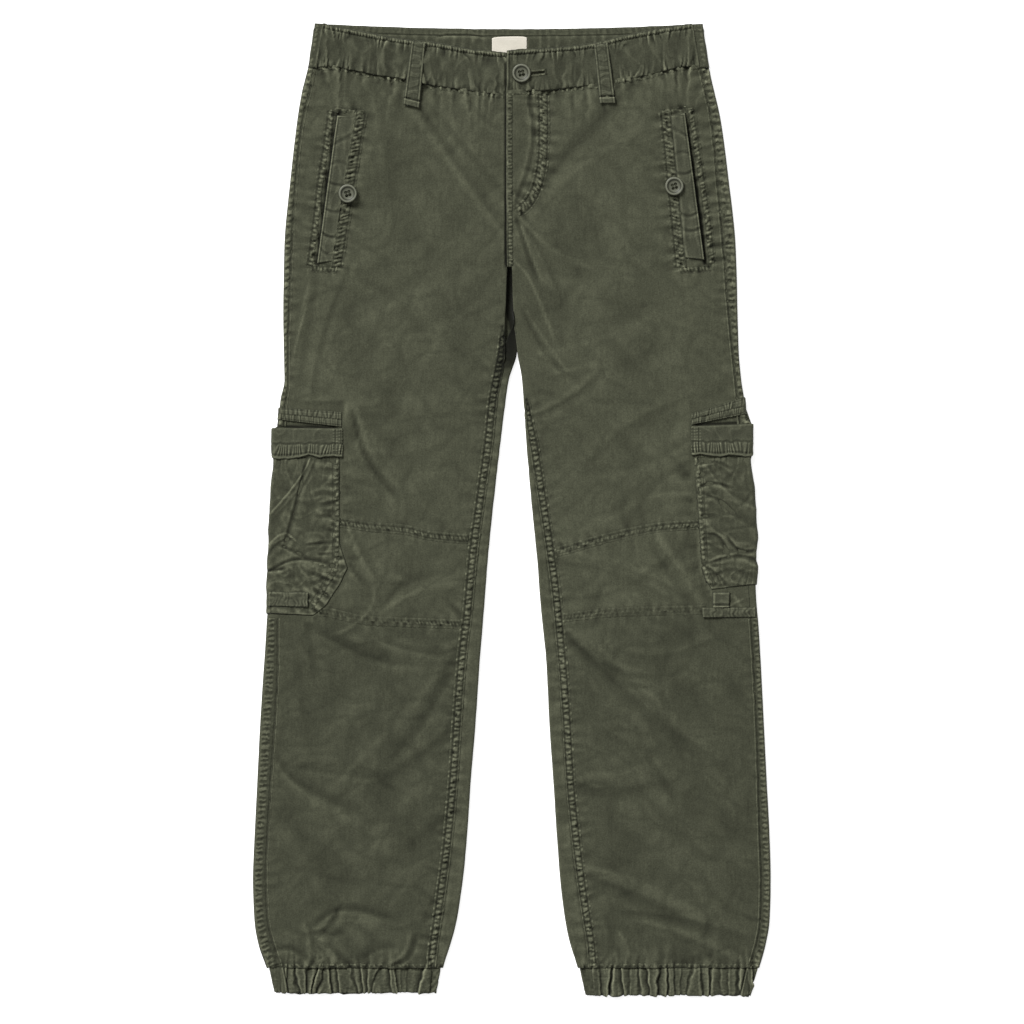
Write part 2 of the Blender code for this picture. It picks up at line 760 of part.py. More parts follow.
# ---------------------------------------------------------------- assembly
def clearScene():
    for old in list(bpy.data.objects):
        bpy.data.objects.remove(old, do_unlink=True)


def buildLeg(side, materials):
    cotton = materials["olive_cotton"]
    trim = materials["olive_trim"]
    frontPanel(side, "front_thigh", "waistSeam", "kneeTop", FRONT_COLUMNS, cotton)
    frontPanel(side, "knee_panel", "kneeTop", "kneeBottom", FRONT_COLUMNS, cotton)
    frontPanel(side, "front_shin", "kneeBottom", None, FRONT_COLUMNS, cotton)
    backPanel(side, cotton)
    waistbandFront(side, materials["olive_band"])
    cuff(side, materials["olive_band"])
    for name in CARGO[side]:
        cargoPiece(side, name, trim)
    frontPatch(side, f"pocket_welt_{side}", WELTS[side], 2, 8, TRIM_OFFSET, trim)
    frontPatch(side, f"belt_loop_front_{side}", FRONT_LOOPS[side], 1, 5, TRIM_OFFSET + 0.4, trim)
    strips = 2.0 * TRIM_OFFSET if side == "right" else TRIM_OFFSET
    frontPatch(side, f"cargo_base_strip_{side}", BASE_STRIPS[side], 4, 1, strips, trim)


def buildButtons(materials):
    for name, (side, outward, down) in BUTTONS.items():
        below = TRIM_OFFSET + TRIM_CLOTH / 2
        if name == "waist":
            below = BAND_CLOTH * 1.5 + LAY_GAP - LAP_UNDER
        height = topHeight(side, outward, down) + below + SEAM_GAP
        button(f"button_{name}", side, outward, down, height, materials["horn_button"])


def main():
    clearScene()
    materials = makeMaterials()
    for side in SIDES:
        buildLeg(side, materials)
    waistbandBack(materials["olive_band"])
    for name, centre in BACK_LOOPS.items():
        backLoop(name, centre, materials["olive_trim"])
    frontPatch("left", "cargo_tab_left", POCKET_TAB, 2, 1, 2.0 * TRIM_OFFSET, materials["olive_trim"])
    label(materials["cream_label"])
    buildButtons(materials)


main()
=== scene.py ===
import math

import bmesh
import bpy
import numpy as np
from mathutils import Matrix, Vector

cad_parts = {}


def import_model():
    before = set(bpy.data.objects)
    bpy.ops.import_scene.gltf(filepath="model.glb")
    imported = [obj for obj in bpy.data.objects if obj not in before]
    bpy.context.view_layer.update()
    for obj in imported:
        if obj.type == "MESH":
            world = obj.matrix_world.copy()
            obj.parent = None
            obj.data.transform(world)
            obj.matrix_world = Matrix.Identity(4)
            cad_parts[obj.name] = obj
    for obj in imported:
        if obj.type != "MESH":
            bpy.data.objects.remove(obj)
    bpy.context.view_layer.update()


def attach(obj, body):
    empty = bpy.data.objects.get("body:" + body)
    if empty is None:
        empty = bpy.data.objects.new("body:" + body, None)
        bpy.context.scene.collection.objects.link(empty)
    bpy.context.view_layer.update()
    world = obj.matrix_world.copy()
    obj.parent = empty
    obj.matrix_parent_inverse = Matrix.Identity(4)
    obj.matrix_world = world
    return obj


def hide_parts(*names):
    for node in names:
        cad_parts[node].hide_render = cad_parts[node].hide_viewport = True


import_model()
print("frame loaded")

mm = 0.001
halfLength = 485.5  # y is halfLength minus down
sideSign = {"right": -1.0, "left": 1.0}  # the wearer's sides: right is at minus X

# Where the layers lie, mm. Heights of the front are those of its outer face.
layers = dict(
    front=4.8,  # front above the underside of the back
    crown=2.4,  # swell of the front away from its edges
    crownReach=60.0,
    fold=2.4,  # radius of the folded outer edge
    waistLift=1.7,  # the back stands this far off the table over loops and pockets
    band=0.2,  # waistband above the front
    lap=1.7,  # left fly and band above the right
    trim=1.3,  # pockets, welts and loops above what they lie on
    wall=0.8,
)
# The random relief of each piece starts from one seed on the right and another on the left.
seeds = dict(front=(11, 47), back=(83, 97), gathers=(211, 223), cuff=(301, 317), band=(401, 433),
             bandFoot=(443, 449), welt=(601, 613), loop=(631, 641), bag=(661, 673), hem=(683, 691), mouth=(701, 709))
crotchDown = 258.0
curlLength = 76.0
cuffSeam = 943.5
backWaistSeam = 43.8
flyEdge = 5.5
pocketBack = 78.0
buttonPlaces = dict(waist=(9.4, 49.6), right=(164.0, 170.0), left=(162.0, 162.6))
# Where the cargo pocket ends below and its open mouth inward, and how far its base strip stands proud.
pocketCover = {"right": dict(foot=598, mouth=174, strip=1.3), "left": dict(foot=572, mouth=183, strip=0.2)}

# Places are millimetres outward from the garment's centre line and down from the top of the waist.
# seam and inseam are the sewn edges of the front; outer and inner are the folded edges of the leg.
legDowns = (0, 44, 70, 96, 156, 223, 244, 260, 276, 292, 326, 356, 376, 416, 476, 536, 576, 600, 636,
            696, 756, 816, 856, 896, 916, 941, 971)
legOutline = {
    "right": {
        "seam": (190.4, 197.6, 202.6, 209, 216, 220, 221, 221.5, 222, 222.5, 224, 224, 226, 229, 231, 233, 234,
                 234, 234, 237, 241, 244.5, 246, 244, 240, 232, 224),
        "inseam": (5.5, 5.5, 5.5, 5.5, 5.5, 3.5, 5.4, 6.0, 6.5, 7.4, 9.6, 14.6, 18.6, 22.6, 31, 39, 42.5, 45, 49.5,
                   54, 58, 63.5, 68.5, 74, 77, 80, 84),
        "inner": (-2, -2, -2, -2, -2, -1.6, -1.8, -1.8, -2.0, -2.6, -5.4, 3.0, 6, 11, 18, 24, 27, 29, 32, 36, 41,
                  45, 49, 55, 60, 68, 76),
    },
    "left": {
        "seam": (181, 188, 193.5, 199, 205, 211, 213, 214, 215, 216.6, 220, 223, 225, 229, 231, 234, 237,
                 238.6, 241, 244, 246, 247.5, 249, 248, 245, 238, 229),
        "inseam": (-5.2, -5.2, -5.2, -5.2, -5.2, -3.2, 0.5, 1, 1.4, 2.4, 6.9, 12.6, 13.5, 20.4, 30, 39, 44,
                   46.2, 49.5, 54, 57.5, 63.5, 68.5, 74.5, 78, 80, 84),
        "inner": (2.3, 2.3, 2.3, 2.3, 2.3, 1.0, 0.6, 0.4, 0.6, 1.2, 4.8, 9.8, 11.4, 14, 19, 25, 28, 30.4,
                  34, 37, 41, 45, 48, 53, 57, 64.5, 73),
    },
}

# The folded outer edge in finer steps: it juts out where the cargo pocket starts.
foldedEdge = {
    "right": (
        (0, 197.3), (44, 204.3), (70, 210.8), (96, 215), (156, 222), (223, 228), (292, 229), (326, 228.5),
        (356, 227.8), (376, 231.8), (390, 233), (401, 234), (404.5, 239.6), (428, 239.8), (437, 238), (462, 240.2),
        (491, 241.8), (506, 243), (521, 242.2), (532, 243.8), (556, 244.2), (580, 244.4), (600, 245.6), (636, 248),
        (696, 252), (756, 255), (816, 258), (856, 259.5), (896, 258), (916, 255), (941, 246.5), (971, 238),
    ),
    "left": (
        (0, 191), (44, 197), (70, 203), (96, 209), (156, 217), (223, 224), (260, 225.3), (292, 226), (326, 227),
        (356, 229.4), (376, 232.4), (396, 234.2), (399.5, 240.2), (428, 240.4), (436, 238), (450, 239.4),
        (466, 242.2), (490, 243), (514, 245), (530, 243.2), (543, 245), (559, 244), (576, 244.6), (600, 246.6),
        (636, 249), (696, 252), (756, 255), (816, 258), (856, 259), (896, 258), (916, 255), (941, 248.5),
        (971, 239),
    ),
}

# Edges that run across a leg: outward and down of their points.
crossEdges = {
    "right": {
        "waistTop": (
            (200, -0.6), (190, 0), (171, 4.3), (149, 8.5), (128, 12.7), (101, 16.7), (80, 18.7), (53, 24),
            (25, 27.6), (6, 29.2), (-10, 31.5), (-40, 35),
        ),
        "waistSeam": (
            (210, 42.6), (197, 43.4), (182, 43.2), (159, 46.6), (136, 51.3), (104, 56.2), (86, 60.6), (56, 65.3),
            (25, 69.6), (6, 72.3), (-10, 74), (-40, 75),
        ),
        "kneeTop": ((240, 491), (169, 499), (142, 503), (107, 506), (81, 512), (49, 515), (30, 516)),
        "kneeBottom": ((240, 583), (188, 588), (142, 597), (90, 599), (52, 600.5), (30, 601)),
    },
    "left": {
        "waistTop": (
            (192, -0.2), (183, 0.2), (146, 5.8), (110, 12.8), (78, 20.4), (44, 24), (-4, 27.2), (-10, 27.6),
        ),
        "waistSeam": (
            (200, 41.6), (190, 42.4), (170, 43.4), (156, 46.2), (135, 52.2), (108, 56), (85, 61), (51, 65),
            (31, 67.2), (2, 68), (-5, 68.8), (-10, 69.2),
        ),
        "kneeTop": ((240, 498), (184, 501), (153, 503), (118, 509), (81, 518), (45, 528), (30, 531)),
        "kneeBottom": ((240, 584), (187, 586), (144, 587), (101, 588.5), (57, 593), (30, 596)),
    },
}


# Numbers that follow a curve.

def ease(value):
    t = np.clip(value, 0.0, 1.0)
    return t * t * (3.0 - 2.0 * t)


def mix(a, b, t):
    return a + (b - a) * t


def fade(value):
    return 1.0 - ease(value)


# 1 in the middle, dying away on both sides.
def bell(away, width, power=2):
    return np.exp(-((away / width) ** power))


# A smooth curve through a table that never overshoots it.
def smoothAt(keys, values, at):
    x, y = np.asarray(keys, float), np.asarray(values, float)
    gaps = np.diff(x)
    rises = np.diff(y) / gaps
    slopes = np.zeros_like(y)
    together = rises[:-1] * rises[1:]
    total = np.where(together > 0, rises[:-1] + rises[1:], 1.0)
    slopes[1:-1] = np.where(together > 0, 2.0 * together / total, 0.0)
    slopes[0], slopes[-1] = rises[0], rises[-1]
    at = np.clip(at, x[0], x[-1])
    i = np.clip(np.searchsorted(x, at, side="right") - 1, 0, len(gaps) - 1)
    t = (at - x[i]) / gaps[i]
    return (
        y[i] * (1 + 2 * t) * (1 - t) ** 2
        + slopes[i] * gaps[i] * t * (1 - t) ** 2
        + y[i + 1] * t**2 * (3 - 2 * t)
        + slopes[i + 1] * gaps[i] * t**2 * (t - 1)
    )


def seedOf(name, side):
    return seeds[name][list(sideSign).index(side)]


def outline(side, column, down):
    if column == "outer":
        return smoothAt(*zip(*foldedEdge[side]), down)
    return smoothAt(legDowns, legOutline[side][column], down)


def edgeDown(side, name, outward):
    points = sorted(crossEdges[side][name])
    return smoothAt([p[0] for p in points], [p[1] for p in points], outward)


# Soft random relief from about -1 to 1, one lump to a unit.
def grain(x, y, seed):
    x, y = np.broadcast_arrays(np.asarray(x, float), np.asarray(y, float))
    x0, y0 = np.floor(x), np.floor(y)
    fx, fy = x - x0, y - y0

    def corner(dx, dy):
        ix = (x0 + dx).astype(np.int64)
        iy = (y0 + dy).astype(np.int64)
        h = (ix * 374761393 + iy * 668265263 + seed * 974634777) & 0xFFFFFFFF
        h = ((h ^ (h >> 13)) * 1274126177) & 0xFFFFFFFF
        angle = (h ^ (h >> 16)).astype(float) * (2.0 * math.pi / 4294967296.0)
        return np.cos(angle) * (fx - dx) + np.sin(angle) * (fy - dy)

    sx = fx * fx * fx * (fx * (fx * 6 - 15) + 10)
    sy = fy * fy * fy * (fy * (fy * 6 - 15) + 10)
    low = mix(corner(0, 0), corner(1, 0), sx)
    high = mix(corner(0, 1), corner(1, 1), sx)
    return 1.5 * mix(low, high, sy)


# Shares from 0 to 1, a step apart.
def shares(count):
    return np.linspace(0.0, 1.0, count + 1)


def joined(*parts):
    return np.concatenate(parts, axis=1)


# Round folds from 0 to 1 with sharp valleys between, uneven as an elastic draws them up.
def gathers(across, along, pitch, seed):
    beat = across / pitch + 0.55 * grain(across / (2.1 * pitch), along / 34.0, seed)
    beat = beat + 0.25 * grain(across / (1.2 * pitch), along / 12.0, seed + 1)
    return np.abs(np.sin(math.pi * beat)) ** 0.65


# Flat pleats from 0 to 1, each rising slowly and dropping sharply, some one way and some the other.
def pleats(across, along, pitch, seed):
    across, along = np.broadcast_arrays(across, along)
    beat = across / pitch + 0.9 * grain(across / (2.6 * pitch), 0 * along, seed)
    lean = 0.7 * grain(across / (2.3 * pitch), 0 * along, seed + 1)
    beat = beat + lean * along / pitch + 0.15 * grain(across / pitch, along / 9.0, seed + 2)
    index = np.floor(beat)
    part = beat - index
    way = ease(0.5 + 2.5 * grain(across / (2.2 * pitch), 0 * along, seed + 3))
    rise = [t**0.8 * fade((t - 0.78) / 0.22) for t in (part, 1.0 - part)]
    return mix(rise[0], rise[1], way) * np.clip(0.8 + 1.1 * grain(0.37 * index, 0.5 + 0 * along, seed + 4), 0.2, 1.3)


# Thin raised lines from 0 to 1, as a crushed cloth keeps.
def wrinkles(x, y, seed):
    return np.clip(1.0 - 3.2 * np.abs(grain(x, y, seed)), 0.0, 1.0) ** 1.5


# Random relief, a row for each layer: form, height, a step to the seed, and the two directions that it runs
# in, each as its shares of outward and down and the size of a lump along it.
def layered(rows, outward, down, seed):
    relief = 0.0
    for form, height, step, (a, b, wide), (c, d, long) in rows:
        relief = relief + height * form((a * outward + b * down) / wide, (c * outward + d * down) / long, seed + step)
    return relief


# Pleats that an elastic or a seam draws up, dying out away from it. Each row: height, pitch, a step to the
# seed, reach and how sharply they end.
def drawnUp(rows, outward, away, seed):
    relief = 0.0
    for height, pitch, step, reach, power in rows:
        folds = pleats(outward, away, pitch, seed + step) - 0.45
        relief = relief + height * folds * bell(np.maximum(away, 0.0), reach, power)
    return relief


# Signed distance from a line of points, positive on its left, and how far along it that is.
def nearPath(points, outward, down):
    best = np.full(np.shape(outward), 1e9)
    away = np.zeros_like(best)
    along = np.zeros_like(best)
    run = 0.0
    last = len(points) - 2
    for index, ((o0, d0), (o1, d1)) in enumerate(zip(points, points[1:])):
        length = math.hypot(o1 - o0, d1 - d0)
        to, td = (o1 - o0) / length, (d1 - d0) / length
        t = (outward - o0) * to + (down - d0) * td
        low = -1e9 if index == 0 else 0.0
        high = 1e9 if index == last else length
        held = np.clip(t, low, high)
        gapO, gapD = outward - o0 - held * to, down - d0 - held * td
        distance = np.hypot(gapO, gapD)
        closer = distance < best
        best = np.where(closer, distance, best)
        away = np.where(closer, np.copysign(distance, to * gapD - td * gapO), away)
        along = np.where(closer, run + held, along)
        run += length
    return away, along


# 1 between a line's two ends, fading outside them.
def within(along, length, soft):
    return ease((along + soft) / soft) * ease((length + soft - along) / soft)


def pathLength(points):
    return sum(math.hypot(b[0] - a[0], b[1] - a[1]) for a, b in zip(points, points[1:]))


def inBox(points, margin, outward, down):
    lows, highs = np.min(points, axis=0) - margin, np.max(points, axis=0) + margin
    return (outward > lows[0]) & (outward < highs[0]) & (down > lows[1]) & (down < highs[1])


# The form that every piece lies on.

# How far the back stands off the table over the loops and the underside of the pockets.
def liftAt(side, outward, down):
    waist = np.clip((96 - down) / 26, 0, 1)
    edge = outline(side, "outer", down)
    gap = np.maximum(np.maximum(edge - pocketBack - 6 - outward, 356 - down), down - 600)
    return layers["waistLift"] * np.maximum(waist, 1 - np.clip(gap / 26, 0, 1))


# Outer face of the front, before its creases.
def frontLevel(side, outward, down):
    outer = outline(side, "outer", down)
    inner = outline(side, "inner", down)
    split = ease((down - crotchDown) / curlLength)
    crown = ease((outer - outward) / layers["crownReach"])
    crown = crown * (1 - split * fade((outward - inner) / layers["crownReach"]))
    crown = crown * ease((down - 60) / 60) * ease((cuffSeam + 25 - down) / 60)
    return liftAt(side, outward, down) + layers["front"] + layers["crown"] * crown


def flyLap(side, outward, down):
    if side == "right":
        return 0 * outward
    rise = layers["lap"] * fade((outward + flyEdge) / 34)
    return rise * fade((down - 188) / 40)


# Main creases of the front, a row for each: outward and down of its start, middle and end, its half width,
# its height (a trough is negative) and its lean, which makes one flank the steeper.
creases = {
    "right": (
        (88, 92, 54, 140, 14, 196, 4.5, -0.55, 0.4), (70, 96, 40, 132, 10, 168, 4, -0.5, -0.3),
        (96, 96, 70, 130, 30, 186, 5.5, 0.4, 0.4), (40, 82, 32, 92, 16, 104, 3.5, -0.5, 0.3),
        (130, 96, 124, 130, 120, 170, 6, -0.4, 0.3), (112, 76, 116, 92, 118, 116, 4, -0.4, -0.3),
        (148, 70, 146, 86, 146, 104, 4, -0.5, 0.3), (206, 270, 215, 310, 223, 352, 3.5, 0.5, 0.5),
        (198, 268, 206, 320, 214, 372, 5, -0.45, 0.2), (150, 300, 100, 272, 50, 258, 12, 0.5, -0.4),
        (20, 268, 60, 300, 110, 316, 9, 0.45, 0.3), (140, 262, 110, 280, 90, 306, 6, -0.35, 0.3),
        (157, 402, 146, 434, 126, 462, 2.6, -0.9, 0.4), (152, 400, 139, 432, 120, 456, 3.4, 0.35, 0.3),
        (158, 382, 132, 424, 96, 470, 5.5, 0.3, -0.4), (150, 424, 120, 428, 84, 420, 5, 0.35, 0.2),
        (166, 384, 130, 378, 60, 376, 9, 0.4, -0.3), (166, 508, 157, 520, 142, 544, 3.5, -0.6, 0.4),
        (160, 512, 152, 528, 140, 550, 3, 0.5, -0.4), (171, 530, 161, 543, 150, 557, 2.2, -0.9, 0.3),
        (162, 508, 158, 520, 152, 532, 2.4, 0.5, 0.3), (137, 566, 146, 590, 168, 606, 1.9, 0.55, 0.2),
        (120, 572, 98, 556, 60, 548, 4.5, -0.55, 0.3), (116, 578, 92, 566, 60, 560, 4, 0.5, -0.3),
        (60, 586, 74, 572, 108, 556, 3.5, 0.4, 0.3), (54, 588, 84, 566, 118, 560, 4, -0.45, 0.3),
        (178, 616, 142, 633, 108, 639, 5, -0.8, 0.4), (122, 619, 102, 625, 78, 629, 3.4, -0.6, 0.3),
        (160, 614, 136, 622, 112, 622, 6, 0.4, 0.3), (60, 646, 86, 690, 110, 722, 8, -0.9, -0.4),
        (72, 640, 100, 690, 128, 716, 9, 0.45, 0.3), (66, 712, 93, 734, 124, 755, 10, -1, 0.4),
        (60, 740, 84, 762, 112, 782, 9, 0.5, 0.3), (204, 745, 168, 749, 136, 752, 4.5, -0.55, 0.3),
        (228, 744, 208, 762, 164, 783, 4.5, -0.8, 0.4), (222, 758, 200, 776, 164, 795, 5, 0.45, -0.3),
        (66, 794, 92, 818, 122, 842, 13, -1.2, 0.3), (222, 796, 200, 822, 176, 856, 18, -0.9, 0.3),
        (204, 604, 202, 622, 199, 646, 5, -0.6, 0.3), (212, 650, 206, 690, 200, 720, 9, -0.6, 0.3),
        (150, 800, 130, 820, 118, 850, 14, 0.6, 0.3), (188, 893, 166, 885, 128, 892, 3.6, -0.9, 0.4),
        (186, 902, 162, 897, 128, 900, 5, 0.4, -0.3), (175, 887, 186, 904, 199, 909, 3, -0.9, 0.3),
        (187, 908, 180, 911, 172, 909, 2.6, -0.7, 0.3), (232, 925, 218, 926, 203, 937, 3.2, -1, 0.4),
        (206, 905, 202, 920, 203, 935, 2.6, 0.7, -0.3), (193, 914, 182, 923, 179, 936, 2.6, 0.7, 0.3),
        (183, 922, 174, 931, 165, 941, 2.8, -1, 0.3), (146, 933, 135, 925, 122, 923, 3.2, -0.7, 0.4),
        (115, 940, 103, 933, 97, 918, 2.8, -1.1, 0.4), (120, 938, 108, 928, 103, 914, 2.8, 0.6, -0.3),
        (66, 840, 74, 866, 84, 890, 4, -0.5, 0.3), (210, 298, 217, 325, 224, 358, 1.2, 0.55, 0),
        (213, 300, 220, 327, 227, 357, 2.2, -0.4, 0), (172, 265, 189, 314, 197, 360, 3.4, -0.5, 0.3),
    ),
    "left": (
        (10, 190, 54, 132, 106, 76, 4.5, -0.5, 0.4), (16, 200, 62, 148, 124, 110, 5.5, 0.35, -0.3),
        (36, 150, 64, 112, 92, 84, 5, -0.45, 0.3), (18.5, 84, 21, 124, 8, 169, 2.2, -0.8, 0.3),
        (15, 82, 17.5, 122, 4, 170, 2.2, 0.55, -0.2), (8, 204, 16, 229, 23, 248, 2.3, -1.2, 0.4),
        (9, 244, 22, 264, 38, 305, 1.9, 0.65, 0), (14, 206, 30, 230, 44, 262, 3, -0.5, -0.4),
        (18, 204, 42, 226, 70, 240, 3, 0.4, 0.4), (20, 296, 34, 318, 48, 338, 1.9, 0.4, 0),
        (17, 300, 30, 323, 44, 341, 2.4, -0.55, 0), (14, 250, 60, 262, 120, 256, 10, 0.4, 0.3),
        (36, 352, 56, 346, 76, 342, 2.2, 0.25, 0), (22, 392, 54, 378, 78, 360, 3.2, -0.45, 0.4),
        (24, 386, 52, 373, 76, 354, 3, 0.3, 0), (34, 330, 84, 318, 130, 300, 9, 0.45, 0.4),
        (30, 352, 80, 350, 140, 330, 7, -0.35, 0.3), (150, 380, 106, 404, 60, 450, 8, 0.5, 0.4),
        (170, 420, 130, 440, 90, 446, 5, -0.4, 0.3), (176, 470, 140, 474, 104, 492, 6, 0.45, -0.4),
        (178, 440, 150, 456, 130, 480, 4, -0.4, 0.4), (50, 540, 96, 548, 150, 572, 5, -0.5, 0.4),
        (52, 530, 100, 538, 150, 556, 4.5, 0.45, -0.4), (60, 576, 110, 566, 150, 540, 5, -0.4, 0.3),
        (150, 520, 170, 548, 184, 572, 4.5, 0.5, -0.4), (146, 530, 160, 552, 176, 574, 4, -0.5, 0.4),
        (54, 612, 90, 640, 124, 652, 5.5, -0.8, 0.4), (62, 608, 110, 642, 166, 700, 7.5, 0.55, -0.4),
        (66, 622, 120, 676, 180, 722, 8, -0.8, 0.4), (190, 616, 150, 628, 110, 622, 6, 0.45, 0.3),
        (74, 750, 104, 750, 138, 742, 7, 0.5, 0.4), (74, 764, 106, 770, 146, 762, 7, -0.8, 0.3),
        (140, 738, 152, 756, 160, 772, 4, -0.5, 0.3), (84, 846, 128, 860, 176, 884, 7, 0.55, 0.4),
        (92, 860, 136, 878, 178, 900, 7, -0.9, 0.3), (128, 890, 178, 898, 226, 912, 5, -0.6, 0.4),
        (140, 900, 180, 912, 216, 930, 4.5, 0.5, -0.3), (92, 936, 100, 920, 96, 900, 3, -0.5, 0.3),
        (110, 912, 116, 926, 114, 938, 3, 0.5, 0.3), (200, 936, 192, 920, 196, 900, 3.5, -0.5, 0.3),
        (219, 568, 225, 576, 229, 583, 2, 1, 0), (226, 565, 233, 573, 240, 580, 2, -1, 0),
        (221, 580, 231, 575, 243, 571, 1.6, 0.8, 0),
    ),
}


# Soft troughs and ridges along curved lines, each dying out at its ends.
def creaseRelief(rows, outward, down):
    relief = np.zeros(np.shape(outward))
    for *ends, width, height, lean in rows:
        start, middle, end = ends[:2], ends[2:4], ends[4:]
        bend = [2 * m - (a + b) / 2 for a, m, b in zip(start, middle, end)]
        points = [
            tuple((1 - t) ** 2 * a + 2 * t * (1 - t) * m + t * t * b for a, m, b in zip(start, bend, end))
            for t in np.linspace(0, 1, 7)
        ]
        length = pathLength(points)
        soft = 0.4 * length
        here = inBox(points, max(soft, 3 * width * (1 + abs(lean))), outward, down)
        if not here.any():
            continue
        away, along = nearPath(points, outward[here], down[here])
        wide = width * (1 + lean * np.sign(away)) * (0.8 + 0.4 * ease(along / length))
        relief[here] += height * within(along, length, soft) * bell(away, wide)
    return relief


# Washed cotton: swells and a fine grain, soft lumps on both diagonals, and thin wrinkles on bent lines.
cottonLayers = dict(
    level=((grain, 1.7, 0, (1, 0, 74), (0, 1, 96)), (grain, 0.7, 12, (1, -1, 60), (1, 1, 90)),
           (grain, 0.06, 3, (1, 0, 7), (0, 1, 9))),
    diagonal=((grain, 0.55, 1, (1, 0, 30), (0, 1, 66)), (grain, 0.4, 5, (0, 1, 28), (1, 0, 74)),
              (grain, 0.1, 8, (1, 0, 12), (0, 1, 40)), (grain, 0.08, 9, (0, 1, 11), (1, 0, 36))),
    bent=((wrinkles, 0.14, 2, (1, -0.6, 40), (0.4, 1, 74)), (wrinkles, -0.36, 4, (1, 0.9, 58), (-0.5, 1, 46)),
          (wrinkles, -0.26, 10, (1, -1.1, 36), (0.9, 1, 50))),
)


def crumple(outward, down, seed):
    diagonals = (outward + down) * 0.707, (outward - down) * 0.707
    bentO, bentD = [place + 9 * grain(outward / 40, down / 40, seed + step)
                    for place, step in ((outward, 6), (down, 7))]
    return (layered(cottonLayers["level"], outward, down, seed) + layered(cottonLayers["diagonal"], *diagonals, seed)
            + layered(cottonLayers["bent"], bentO, bentD, seed))


# Felled and stitched seams. half: from the middle to a row of stitches; rise: how proud the fell is; rung
# and pitch: height and spacing of the small puckers between the rows; pull, reach and drag: spacing,
# length and depth of the pulls that run out into the cloth.
# margins are the plain strips outside the rows of stitches, on the right and the left of the seam's line;
# knots of cloth stand outside the rows in knotRows, padded is the share of the width that the pads fill,
# and lines are thin folds along the rows: distance from the stitches, half width and height of each.
seamLook = dict(half=3.0, rise=0.25, rung=0.85, pitch=5.4, slant=0.1, scatter=0.5, least=0.55, pull=7.5, reach=11.0,
                drag=0.6, margins=(3.2, 3.2), knots=0.6, knotRows=(-1, 1), padded=1.0, groove=0.5,
                stitched=(-1, 1), lines=())
seamKinds = dict(
    side=dict(seamLook, pitch=5.2, rung=0.6, padded=0.62, knots=0.0, drag=0.4, stitched=(), margins=(0.3, 4.0),
              rise=0.1, lines=((1.2, 0.75, -0.8), (2.7, 0.7, 0.5))),
    knee=dict(seamLook, half=2.3, pitch=3.8, rise=0.1, rung=0.6, slant=0.5, knots=0.4, groove=0.4, reach=9.0,
              drag=0.7),
    edge=dict(seamLook, half=1.5, rise=0.0, rung=0.4, pitch=4.8, slant=0.5, scatter=1.6, least=0.0, pull=6.0,
              reach=6.0, drag=0.7, margins=(0.8, 0.8), knots=0.2, stitched=()),
    inseam=dict(seamLook, half=((0, 44), (1.3, 3.1)), pitch=5.1, rung=1.0, knots=0.9, knotRows=(-1,), reach=13.0,
                drag=0.75, padded=0.9, grows=16.0, margins=(3.0, ((0, 90), (0.4, 3.4))),
                lines=((1.5, 0.45, 0.7), (2.6, 0.5, -0.9))),
    welt=dict(seamLook, half=4.2, pitch=4.3, rung=0.9, slant=0.45, scatter=0.9, least=0.3, reach=13.0, drag=1.1,
              margins=(1.4, 3.2)),
    slit=dict(seamLook, half=2.9, pitch=4.2, rung=0.8, slant=-0.3, scatter=0.9, drag=1.2, knots=0.5,
              margins=(3.0, 0.9)),
    fly=dict(seamLook, half=4.0, pitch=4.6, rung=0.9, slant=0.6, scatter=1.0, least=0.3, reach=13.0, drag=1.2,
             knots=0.8),
    flyEdge=dict(seamLook, half=2.4, pitch=3.8, rung=0.7, rise=0.1, reach=5.0, drag=0.3, margins=(1.2, 1.4),
                 stitched=(-1,), knots=0.2, lines=((0.75, 0.5, 0.9),)),
    centre=dict(seamLook, half=2.6, pitch=3.8, rung=0.9, reach=5.0, drag=0.35, margins=(1.0, 1.2), knots=0.2,
                lines=((0.7, 0.5, 0.8),)),
)


# Half the width between a seam's rows of stitches, which may change along it.
def seamHalf(seam, along):
    half = seam["half"]
    return np.interp(along, *half) if isinstance(half, tuple) else half + 0 * along


# How far the fell reaches beyond each row of stitches, which may change along it.
def seamMargins(seam, along):
    return [m + 0 * along if np.isscalar(m) else np.interp(along, *m) for m in seam["margins"]]


def downLine(side, column, start, end, shift=0.0, step=22.0):
    downs = np.linspace(start, end, max(2, int((end - start) / step)))
    return [(float(outline(side, column, d)) + shift, float(d)) for d in downs]


def crossLine(side, name, start, end, shift=0.0):
    outs = np.linspace(start, end, 14)
    return [(float(o), float(edgeDown(side, name, o)) + shift) for o in outs]


# The strip between the side seam and the folded edge, as wide as it shows.
def sideSeam(side, start, end, **changes):
    downs = np.linspace(start, end, max(4, int((end - start) / 20)))
    seam, outer = outline(side, "seam", downs), outline(side, "outer", downs)
    half = np.maximum(1.4, (outer - seam) / 2 - 0.9)
    points = [(float(o), float(d)) for o, d in zip(outer - 0.5 - half, downs)]
    lengths = np.cumsum([0.0] + [math.dist(a, b) for a, b in zip(points, points[1:])])
    return dict(seamKinds["side"], points=points, half=(lengths, half), **changes)


